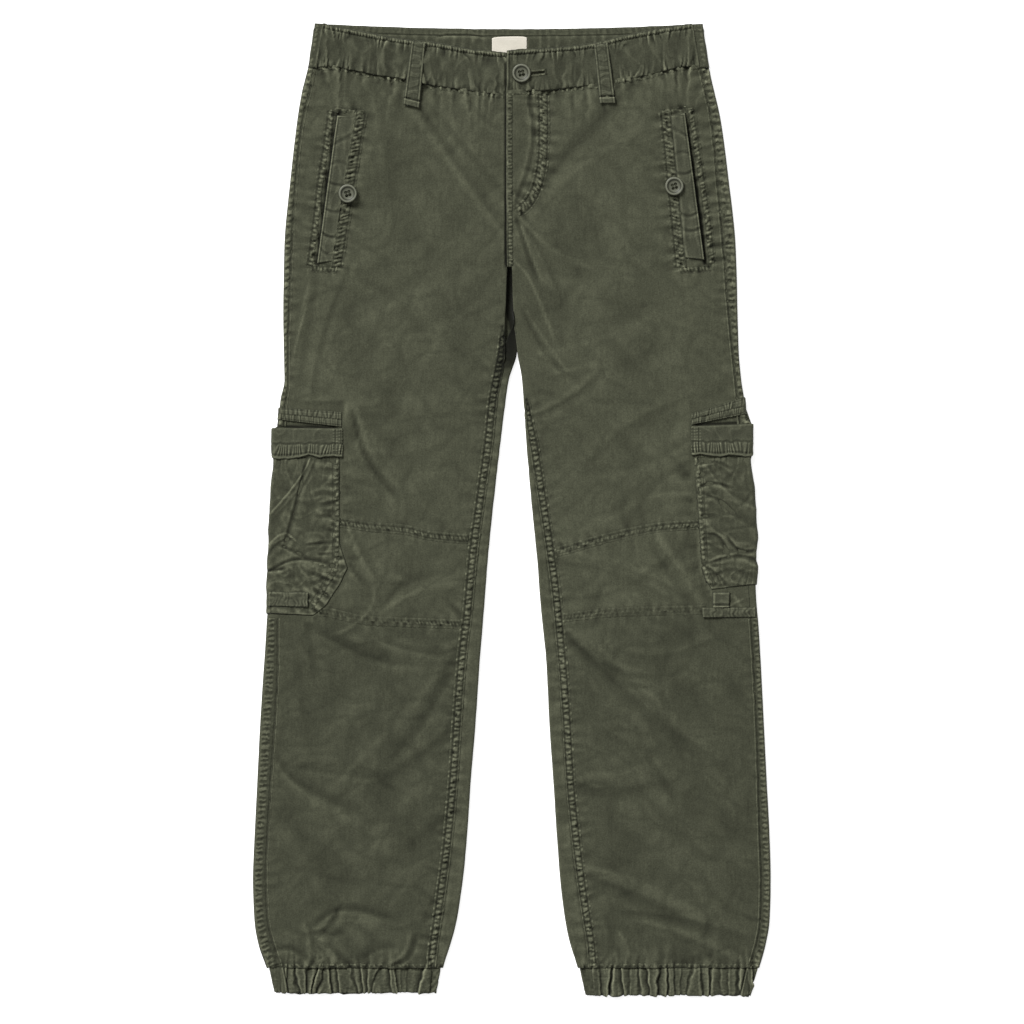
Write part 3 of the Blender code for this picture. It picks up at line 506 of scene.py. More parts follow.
# Where the seams of each front start and end, how strongly its upper and its lower knee seam show from their
# outer to their inner end, and how much painted shadow darkens the top of its inseam. The inseam starts where the
# front no longer curls out of sight.
seamEnds = {
    "right": dict(inseam=300, knee=172, waist=(195, 7), dims=((0, 14, 30, 70, 110), (0.05, 0.3, 0.36, 0.12, 0.0)),
                  upper=((0, 0.25, 0.6, 1), (1.3, 0.7, 1.0, 1.0)),
                  lower=((0, 0.2, 0.55, 0.72, 1), (0.7, 0.3, 0.3, 0.9, 1.0))),
    "left": dict(inseam=374, knee=187, waist=(187, -4), dims=((0, 30), (0.25, 0.0)),
                 upper=((0, 0.12, 0.4, 0.75, 1), (1.6, 1.2, 0.8, 0.9, 1.0)),
                 lower=((0, 0.3, 0.6, 0.8, 1), (0.5, 0.3, 0.35, 0.9, 1.0))),
}
flyLines = dict(fly_stitching=("fly", (31, 70), (31.5, 104), (31, 128), (28.5, 150), (23, 168), (14, 182), (5, 189)),
                fly_edge=("flyEdge", (-1.6, 68), (-1.7, 110), (-1.6, 150), (-1.5, 190)),
                centre_seam=("centre", (-1.6, 190), (-1.6, 206), (-1.4, 224), (-1.0, 243)))


# Every seam that shows on the front of one leg.
def frontSeams(side):
    ends, outer, inner = seamEnds[side], weltLine(side, 0, 3), weltLine(side, 1, 2)

    def lined(kind, points, **changes):
        return dict(seamKinds[kind], points=points, **changes)

    seams = dict(
        side_seam_upper=sideSeam(side, 45, 402, pitch=6.6, rung=0.8, scatter=1.1, padded=0.8, drag=0.9),
        waistband_side=sideSeam(side, 1.2, 43.5, pitch=5.0, rung=0.5),
        side_seam_lower=sideSeam(side, 594, 942.5, rung=0.75),
        knee_seam_upper=lined("knee", crossLine(side, "kneeTop", ends["knee"], 43), fades=ends["upper"]),
        knee_seam_lower=lined("knee", crossLine(side, "kneeBottom", 194, 50), fades=ends["lower"],
                              half=2.0),
        waist_seam=lined("edge", crossLine(side, "waistSeam", *ends["waist"], 1.7)),
        cuff_seam=lined("edge", [(float(o), cuffSeam - 1.9) for o in np.linspace(231, 82, 14)], pitch=4.4),
        inseam=lined("inseam", downLine(side, "inseam", ends["inseam"], 943, 0.8), dims=ends["dims"]),
        slit_frame=lined("slit", [(outer(d) + 6.2 + gape, d) for d, gape in slitGape[side]]),
        welt_frame=lined("welt", [(inner(d) - 5, d) for d in (88, 120, 160, 200, 244)]),
        welt_head=lined("slit", [(inner(86) - 8, 87.4), (outer(86) + 4, 85.2)], half=1.8, pitch=3.6, rung=0.4,
                        margins=(1.6, 2.2), reach=7.0),
        welt_foot=lined("slit", [(outer(243) + 6, 244.2), (inner(243) - 6, 245.4)], half=2.4, pitch=3.8,
                        margins=(2.6, 1.2), reach=8.0),
    )
    if side == "left":
        seams.update({name: lined(kind, points) for name, (kind, *points) in flyLines.items()})
    return seams


# Front pocket welts: outer and inner end of the top, inner and outer end of the foot. The slit is beside
# the outer edge and gapes by so much at each place down it.
welts = {
    "right": ((175, 91.5), (156.5, 93), (179.5, 237.5), (195, 239.5)),
    "left": ((173, 89), (158.6, 91.5), (172.6, 234), (192.4, 236)),
}
slitGape = {
    "right": ((86, -0.3), (118, -0.2), (145, 0.5), (165, 0.9), (190, 0.2), (242, -0.2)),
    "left": ((84, -0.2), (110, 0.2), (140, 0.9), (170, 1.7), (200, 1.9), (240, 0.6)),
}
slitLook = dict(wide=0.4, depth=1.9)


# Outward of one long edge of the welt, as a function of down.
def weltLine(side, top, foot):
    (o0, d0), (o1, d1) = welts[side][top], welts[side][foot]
    return lambda down: o0 + (o1 - o0) * (down - d0) / (d1 - d0)


# How far the front sinks into the pocket's opening.
def slitBed(side, outward, down):
    past = outward - weltLine(side, 0, 3)(down)
    gape = np.interp(down, *zip(*slitGape[side])) + slitLook["wide"]
    bed = ease((past + 3) / 2) * fade((past - gape - 0.4) / 1.3)
    return slitLook["depth"] * bed * ease((down - 88) / 3) * ease((243 - down) / 3)


seamTables = {side: frontSeams(side) for side in sideSign}


# Pulls that run out from a seam's stitches into the cloth beside it.
def pullRelief(seam, outward, down, seed):
    points = seam["points"]
    relief = np.zeros(np.shape(outward))
    here = inBox(points, 2.2 * seam["reach"] + 4, outward, down)
    if not here.any():
        return relief
    away, along = nearPath(points, outward[here], down[here])
    beyond = np.maximum(0.0, np.abs(away) - seamHalf(seam, along))
    lean = 0.5 * grain(along / 44, 0 * along, seed + 8)
    sway = along + lean * away
    long = grain(sway / seam["pull"], away / 40 + 3 * np.sign(away), seed + 3)
    short = grain(sway / (0.55 * seam["pull"]), away / 16 + 3 * np.sign(away), seed + 4)
    folds = seam["drag"] * (0.5 * long - np.maximum(0.0, -long) ** 0.8) * bell(beyond, seam["reach"])
    folds = folds + 0.6 * seam["drag"] * short * bell(beyond, 0.45 * seam["reach"])
    relief[here] = folds * within(along, pathLength(points), 5.0)
    return relief


# How far a panel sinks to make room for a seam's fell.
def seamBed(seam, outward, down):
    bed = np.zeros(np.shape(outward))
    here = inBox(seam["points"], 12.0, outward, down)
    if here.any():
        away, along = nearPath(seam["points"], outward[here], down[here])
        margin = np.where(away < 0, *seamMargins(seam, along))
        across = fade((np.abs(away) - seamHalf(seam, along) - margin + 1.5) / 1.3)
        bed[here] = 0.55 * across * within(along, pathLength(seam["points"]), 1.5)
    return bed


# 0 under the cargo pocket, so that nothing pokes through it, and 1 away from it.
def coverMask(side, outward, down):
    inner = bagEdgeAt(side, down) - 3
    inside = np.minimum(np.minimum(outward - inner, pocketCover[side]["foot"] - down), down - 378)
    return fade((inside + 3) / 5)


# Folds that the waist and cuff elastics push into the panels beside them.
panelPleats = dict(waist=((4.2, 15.0, 0, 20.0, 1.3), (2.4, 6.0, 5, 7.0, 1.2)), cuff=((1.0, 5.0, 7, 5.0, 1.2),))


def waistGathers(side, outward, down):
    below = np.maximum(0.0, down - edgeDown(side, "waistSeam", outward))
    above = np.maximum(0.0, cuffSeam - down)
    seed = seedOf("gathers", side)
    waist = drawnUp(panelPleats["waist"], outward, below, seed) * ease((outward - 3) / 12)
    cuff = 2 * (cuffFolds(side, outward, -above) - 0.45) * bell(above, 13.0, 1.2)
    return waist + cuff + drawnUp(panelPleats["cuff"], outward, above, seed)


def cuffFolds(side, outward, along):
    return pleats(outward, along, 9.0, seedOf("cuff", side))


# Creases, crumple and the pulls of every seam of the front.
def frontDetail(side, outward, down):
    seed = seedOf("front", side)
    edge = ease((outline(side, "outer", down) - outward) / 22)
    split = ease((down - crotchDown) / curlLength)
    edge = edge * (1 - split * fade((outward - outline(side, "inner", down)) / 18))
    relief = edge * (1.22 * creaseRelief(creases[side], outward, down) + crumple(outward, down, seed))
    pulls = np.zeros(np.shape(outward))
    for index, seam in enumerate(seamTables[side].values()):
        pulls = pulls + pullRelief(seam, outward, down, seed + 20 * index)
    pulls = pulls + pullRelief(bagSeams[side], outward, down, seed + 310)
    pulls = pulls * ease((outline(side, "outer", down) - outward - 1) / 7)
    relief = (relief + pulls + waistGathers(side, outward, down)) * coverMask(side, outward, down)
    if side == "right":  # sunk along the edge of the fly that laps over it
        relief = relief - 1.5 * bell(outward - flyEdge, 1.7) * ease((246 - down) / 8)
    return relief


def frontFace(*place):
    return frontLevel(*place) + flyLap(*place) + frontDetail(*place)


# What lies on the front by the height of a layer.
def trimLevel(*place):
    return frontLevel(*place) + layers["trim"]


def faceOf(level, detail):
    return lambda *place: level(*place) + detail(*place)


# Finishes.

# sRGB hex to the linear values a shader takes.
def toLinear(hexColour):
    channels = [int(hexColour[i:i + 2], 16) / 255 for i in (1, 3, 5)]
    return tuple(c / 12.92 if c <= 0.04045 else ((c + 0.055) / 1.055) ** 2.4 for c in channels) + (1.0,)


# A shader node with its settings, and its sockets set or linked.
def addNode(tree, kind, settings=None, **inputs):
    node = tree.nodes.new(kind)
    for key, value in (settings or {}).items():
        setattr(node, key, value)
    return fillSockets(tree, node, **inputs)


# i0, i1 name a socket by number.
def fillSockets(tree, node, **inputs):
    for key, value in inputs.items():
        numbered = key[0] == "i" and key[1:].isdigit()
        socket = node.inputs[int(key[1:]) if numbered else key.replace("_", " ")]
        if isinstance(value, bpy.types.NodeSocket):
            tree.links.new(value, socket)
        else:
            socket.default_value = value
    return node


# Painted shade: an open groove's tone is dark with dye and painted shade, broad hollows get painted shade, and
# slitShade is the painted shadow in slits and gaps.
darkest, broadShade = 0.12, 0.13  # the tone of an open groove, and how much broad hollows darken
slitShade = "#1a1b14"  # inside slits, darker than a groove


# A material whose tone follows wear and painted light and shade: dark where it is sunk (dye kept there and painted
# shade), its own colour, and pale where it stands proud (rubbed, and painted highlight). Its darkest end is painted
# shadow.
def wornShadedMaterial(name, dark, colour, light, *more):
    material = bpy.data.materials.new(name)
    material.use_nodes = True
    tree = material.node_tree
    place = addNode(tree, "ShaderNodeTexCoord").outputs["Object"]
    wearAndShade = addNode(tree, "ShaderNodeAttribute", {"attribute_name": "wearAndShade"}).outputs["Fac"]
    ramp = addNode(tree, "ShaderNodeValToRGB", i0=wearAndShade)
    stops = ramp.color_ramp.elements
    stops[0].color, stops[-1].color = toLinear(dark), toLinear(light)
    for position, between in ((0.5, colour), *more):
        stops.new(position).color = toLinear(between)
    return material, tree, tree.nodes["Principled BSDF"], place, ramp.outputs["Color"]


# Plain-woven cotton: matt, with a thread-fine grain, worn where it stands proud, and with painted highlight and shade
# on its relief.
def clothMaterial(name, look):
    material, tree, shader, place, tone = wornShadedMaterial(name, slitShade, look["colour"], look["ridge"],
                                                       (darkest, look["groove"]))
    shade = None
    for size, amount, turn in look["mottle"]:
        vector, detail = place, 2.0
        # The drawn-out noises paint the light and shade of fine brushed creases into the colour.
        if turn is not None:  # fine brushed creases, about 12 mm long
            vector, detail = addNode(tree, "ShaderNodeMapping", Vector=place, Scale=(1.0, 0.17, 1.0),
                                     Rotation=(0.0, 0.0, math.radians(turn))).outputs[0], 3.0
        noise = addNode(tree, "ShaderNodeTexNoise", Vector=vector, Scale=1.0 / (size * mm), Detail=detail)
        level = addNode(tree, "ShaderNodeMapRange", i0=noise.outputs["Fac"], i1=0.25, i2=0.75,
                        i3=1.0 - amount, i4=1.0 + amount).outputs[0]
        if shade is None:
            shade = level
        else:
            shade = addNode(tree, "ShaderNodeMath", {"operation": "MULTIPLY"}, i0=shade, i1=level).outputs[0]
        if turn is None:
            height = noise.outputs["Fac"]
    tinted = addNode(tree, "ShaderNodeVectorMath", {"operation": "SCALE"}, i0=tone, Scale=shade)
    for direction in ("X", "Y"):
        # thread spacing drawn about four times as coarse as poplin's, so that it shows
        threads = addNode(tree, "ShaderNodeTexWave", {"wave_type": "BANDS", "bands_direction": direction},
                          Vector=place, Scale=0.314 / (look["thread"] * mm), Distortion=1.2, Detail=1.0,
                          Detail_Scale=2.0)
        height = addNode(tree, "ShaderNodeMath", {"operation": "ADD"}, i0=height,
                         i1=threads.outputs["Fac"]).outputs[0]
    bump = addNode(tree, "ShaderNodeBump", Strength=look["bump"], Distance=0.25 * mm, Height=height)
    fillSockets(tree, shader, Base_Color=tinted.outputs["Vector"], Normal=bump.outputs["Normal"],
                Roughness=look["roughness"], Sheen_Weight=look["sheen"], Sheen_Roughness=0.5, Specular_IOR_Level=0.2)
    return material


# Cotton poplin, sewn up first and then dyed and washed: the dye rubs off ridges and stays in grooves, and ridge and
# groove also carry painted highlight and painted shade. mottle holds lump sizes in mm, how much each darkens and
# lightens, and the turn of drawn-out ones, which paint the light and shade of fine creases.
poplin = dict(colour="#4b4d3d", ridge="#898b72", groove="#1c1d14",
              mottle=((46.0, 0.035, None), (3.6, 0.09, None), (1.3, 0.26, None), (2.2, 0.08, 38.0), (2.2, 0.06, -47.0)),
              thread=1.1, bump=0.3, roughness=0.93, sheen=0.06)
finishes = {
    "thigh": ("garment_dyed_cotton_poplin", poplin),
    "shin": ("garment_dyed_cotton_poplin_shin", dict(poplin, colour="#454738")),
    "pocket": ("garment_dyed_cotton_poplin_pocket", dict(poplin, colour="#454738")),
    "band": ("garment_dyed_cotton_poplin_gathered", dict(poplin, colour="#464839")),
    "trim": ("garment_dyed_cotton_poplin_folded", dict(poplin, colour="#494b3c")),
    "thread": ("core_spun_cotton_thread", dict(poplin, colour="#3f4132", bump=0.2)),
    "label": ("woven_cotton_tape", dict(colour="#e4decf", ridge="#f6f1e6", groove="#c9c2b0",
                                        mottle=((20.0, 0.02, None), (1.5, 0.03, None)), thread=0.9, bump=0.25,
                                        roughness=0.85, sheen=0.05)),
}


# Cast polyester resin, dyed with the cloth: hard, with a dull shine, a paler rim, rubbed and with painted highlight,
# and painted shade on the rim's inner slope and at its foot.
def buttonMaterial():
    look = dict(colour="#505242", dark="#22231a", light="#7c7e6c", roughness=0.5)
    material, tree, shader, place, tone = wornShadedMaterial("cast_resin_button", look["dark"], look["colour"], look["light"])
    cloud = addNode(tree, "ShaderNodeTexNoise", Vector=place, Scale=320.0, Detail=4.0, Distortion=0.6)
    level = addNode(tree, "ShaderNodeMapRange", i0=cloud.outputs["Fac"], i1=0.25, i2=0.75, i3=0.86, i4=1.14)
    tinted = addNode(tree, "ShaderNodeVectorMath", {"operation": "SCALE"}, i0=tone, Scale=level.outputs[0])
    scuff = addNode(tree, "ShaderNodeTexNoise", Vector=place, Scale=1400.0, Detail=2.0)
    bump = addNode(tree, "ShaderNodeBump", Strength=0.15, Distance=0.1 * mm, Height=scuff.outputs["Fac"])
    fillSockets(tree, shader, Base_Color=tinted.outputs["Vector"], Normal=bump.outputs["Normal"],
                Roughness=look["roughness"], IOR=1.5)
    return material


# Making cloth.

# What stands above or below its surroundings.
def highPass(relief, passes):
    soft = relief.copy()
    for _ in range(passes):
        padded = np.pad(soft, 1, mode="edge")
        soft = (padded[:-2, 1:-1] + padded[2:, 1:-1] + padded[1:-1, :-2] + padded[1:-1, 2:]
                + 2 * padded[1:-1, 1:-1]) / 6
    return relief - soft


def world(side, outward, down, height):
    outward, down, height = np.broadcast_arrays(outward, down, height)
    return np.stack([sideSign[side] * outward, halfLength - down, height], axis=-1)


# Steps from 0 to 1 that crowd at both ends.
def uneven(count, crowd):
    t = shares(count)
    return t - crowd * np.sin(2 * np.pi * t) / (2 * np.pi)


# A grid of places pushed out by its relief, turned so that it faces up or down.
def moved(form, relief, facing):
    normals = np.cross(np.gradient(form, axis=1), np.gradient(form, axis=0))
    normals /= np.maximum(np.linalg.norm(normals, axis=2, keepdims=True), 1e-9)
    turned = normals[form.shape[0] // 2, form.shape[1] // 2, 2] * facing < 0
    if turned:
        normals = -normals
    return form + normals * relief[:, :, None], turned


def setWearAndShade(mesh, wearAndShade):
    mesh.attributes.new("wearAndShade", "FLOAT", "POINT").data.foreach_set("value", wearAndShade.astype(np.float32).ravel())


def gridMesh(name, placed, wearAndShade):
    rows, columns = wearAndShade.shape
    bm = bmesh.new()
    bmesh.ops.create_grid(bm, x_segments=columns - 1, y_segments=rows - 1, size=0.5)
    mesh = bpy.data.meshes.new(name)
    bm.to_mesh(mesh)
    bm.free()
    mesh.vertices.foreach_set("co", (placed * mm).astype(np.float32).ravel())
    setWearAndShade(mesh, wearAndShade)
    mesh.shade_smooth()
    mesh.update()
    return mesh


def addObject(name, data):
    thing = bpy.data.objects.new(name, data)
    bpy.context.collection.objects.link(thing)
    return thing


def addPiece(name, mesh, finish, node=None):
    mesh.materials.append(materials[finish])
    piece = addObject(name, mesh)
    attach(piece, "root")
    if node:
        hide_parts(node)
    return piece


# How strongly relief shows as wear and as painted highlight and shade: over this many grid steps round about, and per
# mm.
clothWearAndShade = dict(passes=4, gain=0.5)


# Pale on ridges and dark in grooves, partly wear and partly painted highlight and shade, with painted shade in broad
# hollows and a little painted light on broad swells.
def wearAndShadeOf(relief, passes, gain):
    near, broad = highPass(relief, passes), highPass(relief, 60)
    hollowShade = np.minimum(broad - near, 0.35 * (broad - near))
    return np.clip(0.5 + 0.5 * gain * near + broadShade * hollowShade, darkest, 1.0)


# A sheet from a grid of places in mm and its relief, with a wall and a finish.
def clothPiece(node, form, relief, finish, facing=1.0, wall=layers["wall"], wearAndShadeRelief=None,
               shade=0.0, wearAndShade=clothWearAndShade):
    placed, turned = moved(form, relief, facing)
    wornAndShaded = np.clip(wearAndShadeOf(relief if wearAndShadeRelief is None else wearAndShadeRelief, **wearAndShade) + shade, 0.0, 1.0)
    if turned:
        placed, wornAndShaded = placed[:, ::-1], wornAndShaded[:, ::-1]
    name = f"{node}_cloth"
    piece = addPiece(name, gridMesh(name, placed, wornAndShaded), finish, node)
    shell = piece.modifiers.new("wall", "SOLIDIFY")
    shell.thickness = wall * mm
    shell.offset = -1.0
    return piece


# Seams.

seamGrid = dict(along=0.9, across=0.95)
# How a seam's pads and the face beneath it show in its tone, as wear and as painted highlight and shade.
seamWearAndShade = dict(ladder=0.85, face=0.8, flat=0.47)


# A fell drawn into uneven pads between two rows of stitches, with knots of cloth outside them.
def ladderRelief(seam, along, away, seed):
    half, pitch = seamHalf(seam, along), seam["pitch"]
    beat = along / pitch + 0.4 * grain(along / (2.1 * pitch), 0 * along, seed)
    skew = seam["slant"] + 0.5 * grain(along / (1.6 * pitch), 0 * along, seed + 6)
    rung = beat + skew * away / pitch + 0.22 * grain(along / (0.8 * pitch), away / 3, seed + 5)
    pads = ease(0.7 + 1.1 * np.cos(2 * math.pi * rung))
    strength = 0.95 + seam["scatter"] * grain(along / (1.2 * pitch), away / 6, seed + 1)
    strength = np.clip(strength, seam["least"], 1.6)
    inside = np.sqrt(np.clip(1 - (away / (half * seam["padded"])) ** 4, 0.0, 1.0))
    relief = (seam["rise"] + seam["rung"] * strength * (pads - 0.55)) * inside
    relief = relief + 0.16 * grain(along / 1.9, away / 1.7, seed + 4)
    for row in seam["stitched"]:
        relief = relief - seam["groove"] * bell(away - row * half, 0.75)
    for row in seam["knotRows"]:
        knot = beat + 0.5 + 0.2 * grain(along / pitch, 9 * row, seed + 2)
        knots = (0.5 + 0.5 * np.cos(2 * math.pi * knot)) ** 1.5
        knots = knots * np.clip(0.7 + 1.3 * grain(along / (1.4 * pitch), 7 * row, seed + 3), 0.0, 1.5)
        relief = relief + seam["knots"] * knots * bell(away - row * (half + 1.6), 1.0)
    for offset, width, height in seam["lines"]:
        wander = half + offset + 0.45 * grain(along / 11, 0 * along, seed + 7)
        relief = relief + height * bell(away - wander, width)
    if "fades" in seam:
        relief = relief * np.interp(along / along.max(), *seam["fades"])
    return relief * ease(along / seam["grows"]) if "grows" in seam else relief


# The seam's line, its left-hand normals and its headings, a step apart.
def seamPath(points):
    points = np.asarray(points, float)
    lengths = np.concatenate([[0.0], np.cumsum(np.hypot(*np.diff(points, axis=0).T))])
    steps = np.linspace(0.0, lengths[-1], max(4, int(lengths[-1] / seamGrid["along"])))
    line = np.stack([smoothAt(lengths, points[:, k], steps) for k in (0, 1)], axis=1)
    ahead = np.gradient(line, axis=0)
    ahead /= np.linalg.norm(ahead, axis=1, keepdims=True)
    return steps, line, np.stack([-ahead[:, 1], ahead[:, 0]], axis=1), ahead


# A coarse underside that follows the top a little below it, joined to the top's rim.
def closeUnder(bm, placed):
    rows, columns = placed.shape[:2]
    picks = np.linspace(0, columns - 1, 4).astype(int)
    bm.verts.ensure_lookup_table()
    top = [bm.verts[row * columns : (row + 1) * columns] for row in range(rows)]
    wearAndShadeLayer = bm.verts.layers.float["wearAndShade"]
    under = []
    for row in range(rows):
        under.append([bm.verts.new(top[row][c].co - Vector((0.0, 0.0, 0.9 * mm))) for c in picks])
        for vertex, c in zip(under[row], picks):
            vertex[wearAndShadeLayer] = top[row][c][wearAndShadeLayer]
    for row in range(rows - 1):
        for k in range(3):
            bm.faces.new((under[row][k], under[row][k + 1], under[row + 1][k + 1], under[row + 1][k]))
        for c, k in ((0, 0), (-1, -1)):
            bm.faces.new((top[row][c], top[row + 1][c], under[row + 1][k], under[row][k]))
    for row in (0, -1):
        bm.faces.new(top[row] + under[row][::-1])


# A raised seam: dense on top, closed underneath, its edges let into the cloth it lies on.
def seamPiece(name, side, seam, face, finish, seed):
    steps, line, left, ahead = seamPath(seam["points"])
    half = seamHalf(seam, steps)[:, None]
    before, beyond = [margin[:, None] for margin in seamMargins(seam, steps)]
    low, high = -(half + before), half + beyond
    count = int(float((high - low).max()) / seamGrid["across"])
    away = mix(low, high, np.linspace(0.0, 1.0, count)[None, :])
    along = steps[:, None] + 0 * away
    edge = np.minimum(away - low, high - away)
    outward = line[:, :1] + left[:, :1] * away
    down = line[:, 1:] + left[:, 1:] * away
    ladder = ladderRelief(seam, along, away, seed)
    ends = ease(np.minimum(along, steps[-1] - along) / 1.6)
    under = face(side, outward, down)
    height = under + mix(-0.5, ladder - 0.5 * ease(1 - edge / 0.7), ends)
    placed = world(side, outward, down, height)
    near = highPass(under, 16)
    wornAndShaded = 0.5 * (seamWearAndShade["ladder"] * (ladder - seam["rise"] * 0.5) + seamWearAndShade["face"] * near)
    wornAndShaded = np.clip(seamWearAndShade["flat"] + wornAndShaded, darkest, 1.0)
    # painted shadow over the start of an inseam, where it lies in the dark gap at the crotch
    if "dims" in seam:
        wornAndShaded = wornAndShaded - np.interp(along, *seam["dims"]) * ease((away + half + 0.8) / 1.2)
    wornAndShaded = np.clip(wornAndShaded, 0.0, 1.0)
    middle = len(steps) // 2
    across, onward = placed[middle, -1] - placed[middle, 0], placed[middle + 1, 0] - placed[middle, 0]
    if np.cross(across, onward)[2] < 0:
        placed, wornAndShaded = placed[:, ::-1], wornAndShaded[:, ::-1]
    mesh = gridMesh(name, placed, wornAndShaded)
    bm = bmesh.new()
    bm.from_mesh(mesh)
    closeUnder(bm, placed)
    bmesh.ops.recalc_face_normals(bm, faces=bm.faces)
    bm.to_mesh(mesh)
    bm.free()
    piece = addPiece(name, mesh, finish)
    for row in seam["stitched"]:
        at = np.arange(1.5, steps[-1] - 1, threadLook["spacing"])
        index, offset = np.searchsorted(steps, at), row * seamHalf(seam, at)
        spots = line[index] + left[index] * offset[:, None]
        sew(side, spots, ahead[index], face, ladderRelief(seam, at, offset, seed))
    return piece


# Thread.

threadLook = dict(length=2.1, spacing=3.0, width=0.45, height=0.3, proud=-0.14)
stitchPlaces = []  # a matrix for each stitch, made into one piece at the end


def stitchMatrix(middle, turn, size):
    return (Matrix.Scale(mm, 4) @ Matrix.Translation(middle) @ Matrix.Rotation(turn, 4, "Z")
            @ Matrix.Diagonal((*size, 1.0)))


# Stitches at places on one side of the garment, each along its heading.
def sew(side, spots, headings, face, proud=0.0, length=threadLook["length"]):
    heights = face(side, spots[:, :1], spots[:, 1:])[:, 0] + proud
    size = length / 2, threadLook["width"] / 2, threadLook["height"] / 2
    for spot, height, ahead in zip(spots, heights, headings):
        middle = Vector(world(side, spot[0], spot[1], height + threadLook["proud"]))
        stitchPlaces.append(stitchMatrix(middle, math.atan2(-ahead[1], sideSign[side] * ahead[0]), size))


# Every stitch, as one joined piece of small spindles.
def makeStitches():
    whole = bmesh.new()
    mesh = bpy.data.meshes.new("stitching")
    for first in range(0, len(stitchPlaces), 150):  # in batches, which is much quicker
        bm = bmesh.new()
        for matrix in stitchPlaces[first : first + 150]:
            bmesh.ops.create_icosphere(bm, subdivisions=1, radius=1.0, matrix=matrix)
        bm.to_mesh(mesh)
        bm.free()
        whole.from_mesh(mesh)
    whole.to_mesh(mesh)
    whole.free()
    mesh.shade_smooth()
    setWearAndShade(mesh, np.full(len(mesh.vertices), 0.5))
    return addPiece("stitching", mesh, "thread")


# Front panels.

frontPanels = {
    "front_thigh": dict(top="waistSeam", under=-2.0, bottom="kneeTop", columns=84, rows=220, look="thigh",
                        seams=("side_seam_upper", "waist_seam", "knee_seam_upper", "inseam", "welt_frame",
                               "slit_frame", "welt_head", "welt_foot", "fly_stitching", "fly_edge", "centre_seam"),
                        cut=dict(flat=(0.245, 0.49), area=0.098)),
    "knee_panel": dict(top="kneeTop", bottom="kneeBottom", columns=80, rows=46, look="thigh",
                       seams=("knee_seam_lower",), cut=dict(flat=(0.22, 0.115), area=0.0205)),
    "front_shin": dict(top="kneeBottom", bottom=None, columns=76, rows=170, look="shin",
                       seams=("side_seam_lower", "cuff_seam"), cut=dict(flat=(0.22, 0.38), area=0.066)),
}


# The front's outer face, and its turn down into the folded edge.
def foldedFace(side, outward, down):
    return frontFace(side, outward, down) - layers["fold"] + foldRise(side, outward, down)


# Height of the folded edge above its middle.
def foldRise(side, outward, down):
    into = np.clip(outward - outline(side, "outer", down) + layers["fold"], 0.0, layers["fold"] - 0.05)
    return np.sqrt(layers["fold"] ** 2 - into**2)


# From the front up onto the edge of the welt, as one smooth ramp.
def weltBandFace(side, outward, down):
    inner = weltLine(side, 1, 2)(down)
    return frontFace(side, outward, down) + (layers["trim"] + 0.1) * ease((outward - inner + 5) / 5)


seamFaces = {"welt_frame": weltBandFace}


# Room for every seam that lies on the panel.
def panelBed(side, outward, down):
    bed = np.zeros(np.shape(outward))
    for seam in seamTables[side].values():
        bed = np.maximum(bed, seamBed(seam, outward, down))
    return np.maximum(bed, slitBed(side, outward, down))


# How far the front sinks in the open mouth of the cargo pocket, and where shadow is painted on it along the top of the
# hem.
def mouthBed(side, outward, down):
    inside = np.minimum(outward - pocketCover[side]["mouth"], np.minimum(down - 389, 412 - down))
    lip = cargoEdges(side, "hem", outward)[0] - 1.2
    return ease(inside / 4 + 0.5), bell(down - lip, 1.5)


def makeFrontPanel(side, name):
    panel = frontPanels[name]
    seams = [
        seamPiece(f"{seam}_{side}", side, seamTables[side][seam], seamFaces.get(seam, foldedFace), panel["look"],
                  500 + 31 * index)
        for index, seam in enumerate(panel["seams"])
        if seam in seamTables[side]
    ]
    u = uneven(panel["columns"], 0.5)[None, :]
    v = shares(panel["rows"])[:, None]
    down = 500 + 0 * u * v
    for _ in range(4):  # the ends of a row lie on curved seams, so its down settles in a few rounds
        outward = mix(outline(side, "seam", down) + 0.5, outline(side, "inseam", down) - 0.5, u)
        top = edgeDown(side, panel["top"], outward) + panel.get("under", 0.1)
        bottom = edgeDown(side, panel["bottom"], outward) - 0.1 if panel["bottom"] else cuffSeam + 0.5
        down = mix(bottom, top, v)
    place = side, outward, down
    detail = frontDetail(*place)
    form = world(*place, frontLevel(*place) + flyLap(*place))
    mouth, hemShadow = mouthBed(*place)
    # Painted shadow: dark inside the welt's slit, along the top of the cargo hem and, on the right, beside the fly's
    # lapped edge.
    slitAndGapShadow = np.maximum(slitBed(*place) / slitLook["depth"], mouth * hemShadow)
    if side == "right":
        slitAndGapShadow = np.maximum(slitAndGapShadow, ease((flyEdge + 2.6 - outward) / 1.6) * ease((250 - down) / 16))
    clothPiece(f"{name}_{side}", form, detail - panelBed(*place) - 0.8 * mouth,
               panel["look"], wearAndShadeRelief=detail, shade=-0.5 * slitAndGapShadow)


# Back legs.

backLeg = dict(rows=184, wrap=9, fold=8, flat=36, curl=8, over=8, cut=dict(flat=(0.27, 0.93), area=0.21),
               layers=((grain, 0.45, 0, (1, 0, 60), (0, 1, 84)), (grain, 0.27, 1, (1, 1, 34), (-1, 1, 60)),
                       (wrinkles, 0.5, 3, (1, -1, 60), (1, 1, 80)), (grain, 0.2, 2, (1, 0, 12), (0, 1, 16))))


# The folded outer edge, as outward and height from the front round to the back.
def outerTurn(side, down, reach):
    outer = outline(side, "outer", down)
    radius = layers["fold"]
    angles = np.linspace(math.pi / 2, -math.pi / 2, backLeg["fold"] + 1)[None, :]
    low = liftAt(side, outer, down)
    return outer - radius + (radius + reach) * np.cos(angles), low + radius + (radius + reach) * np.sin(angles)


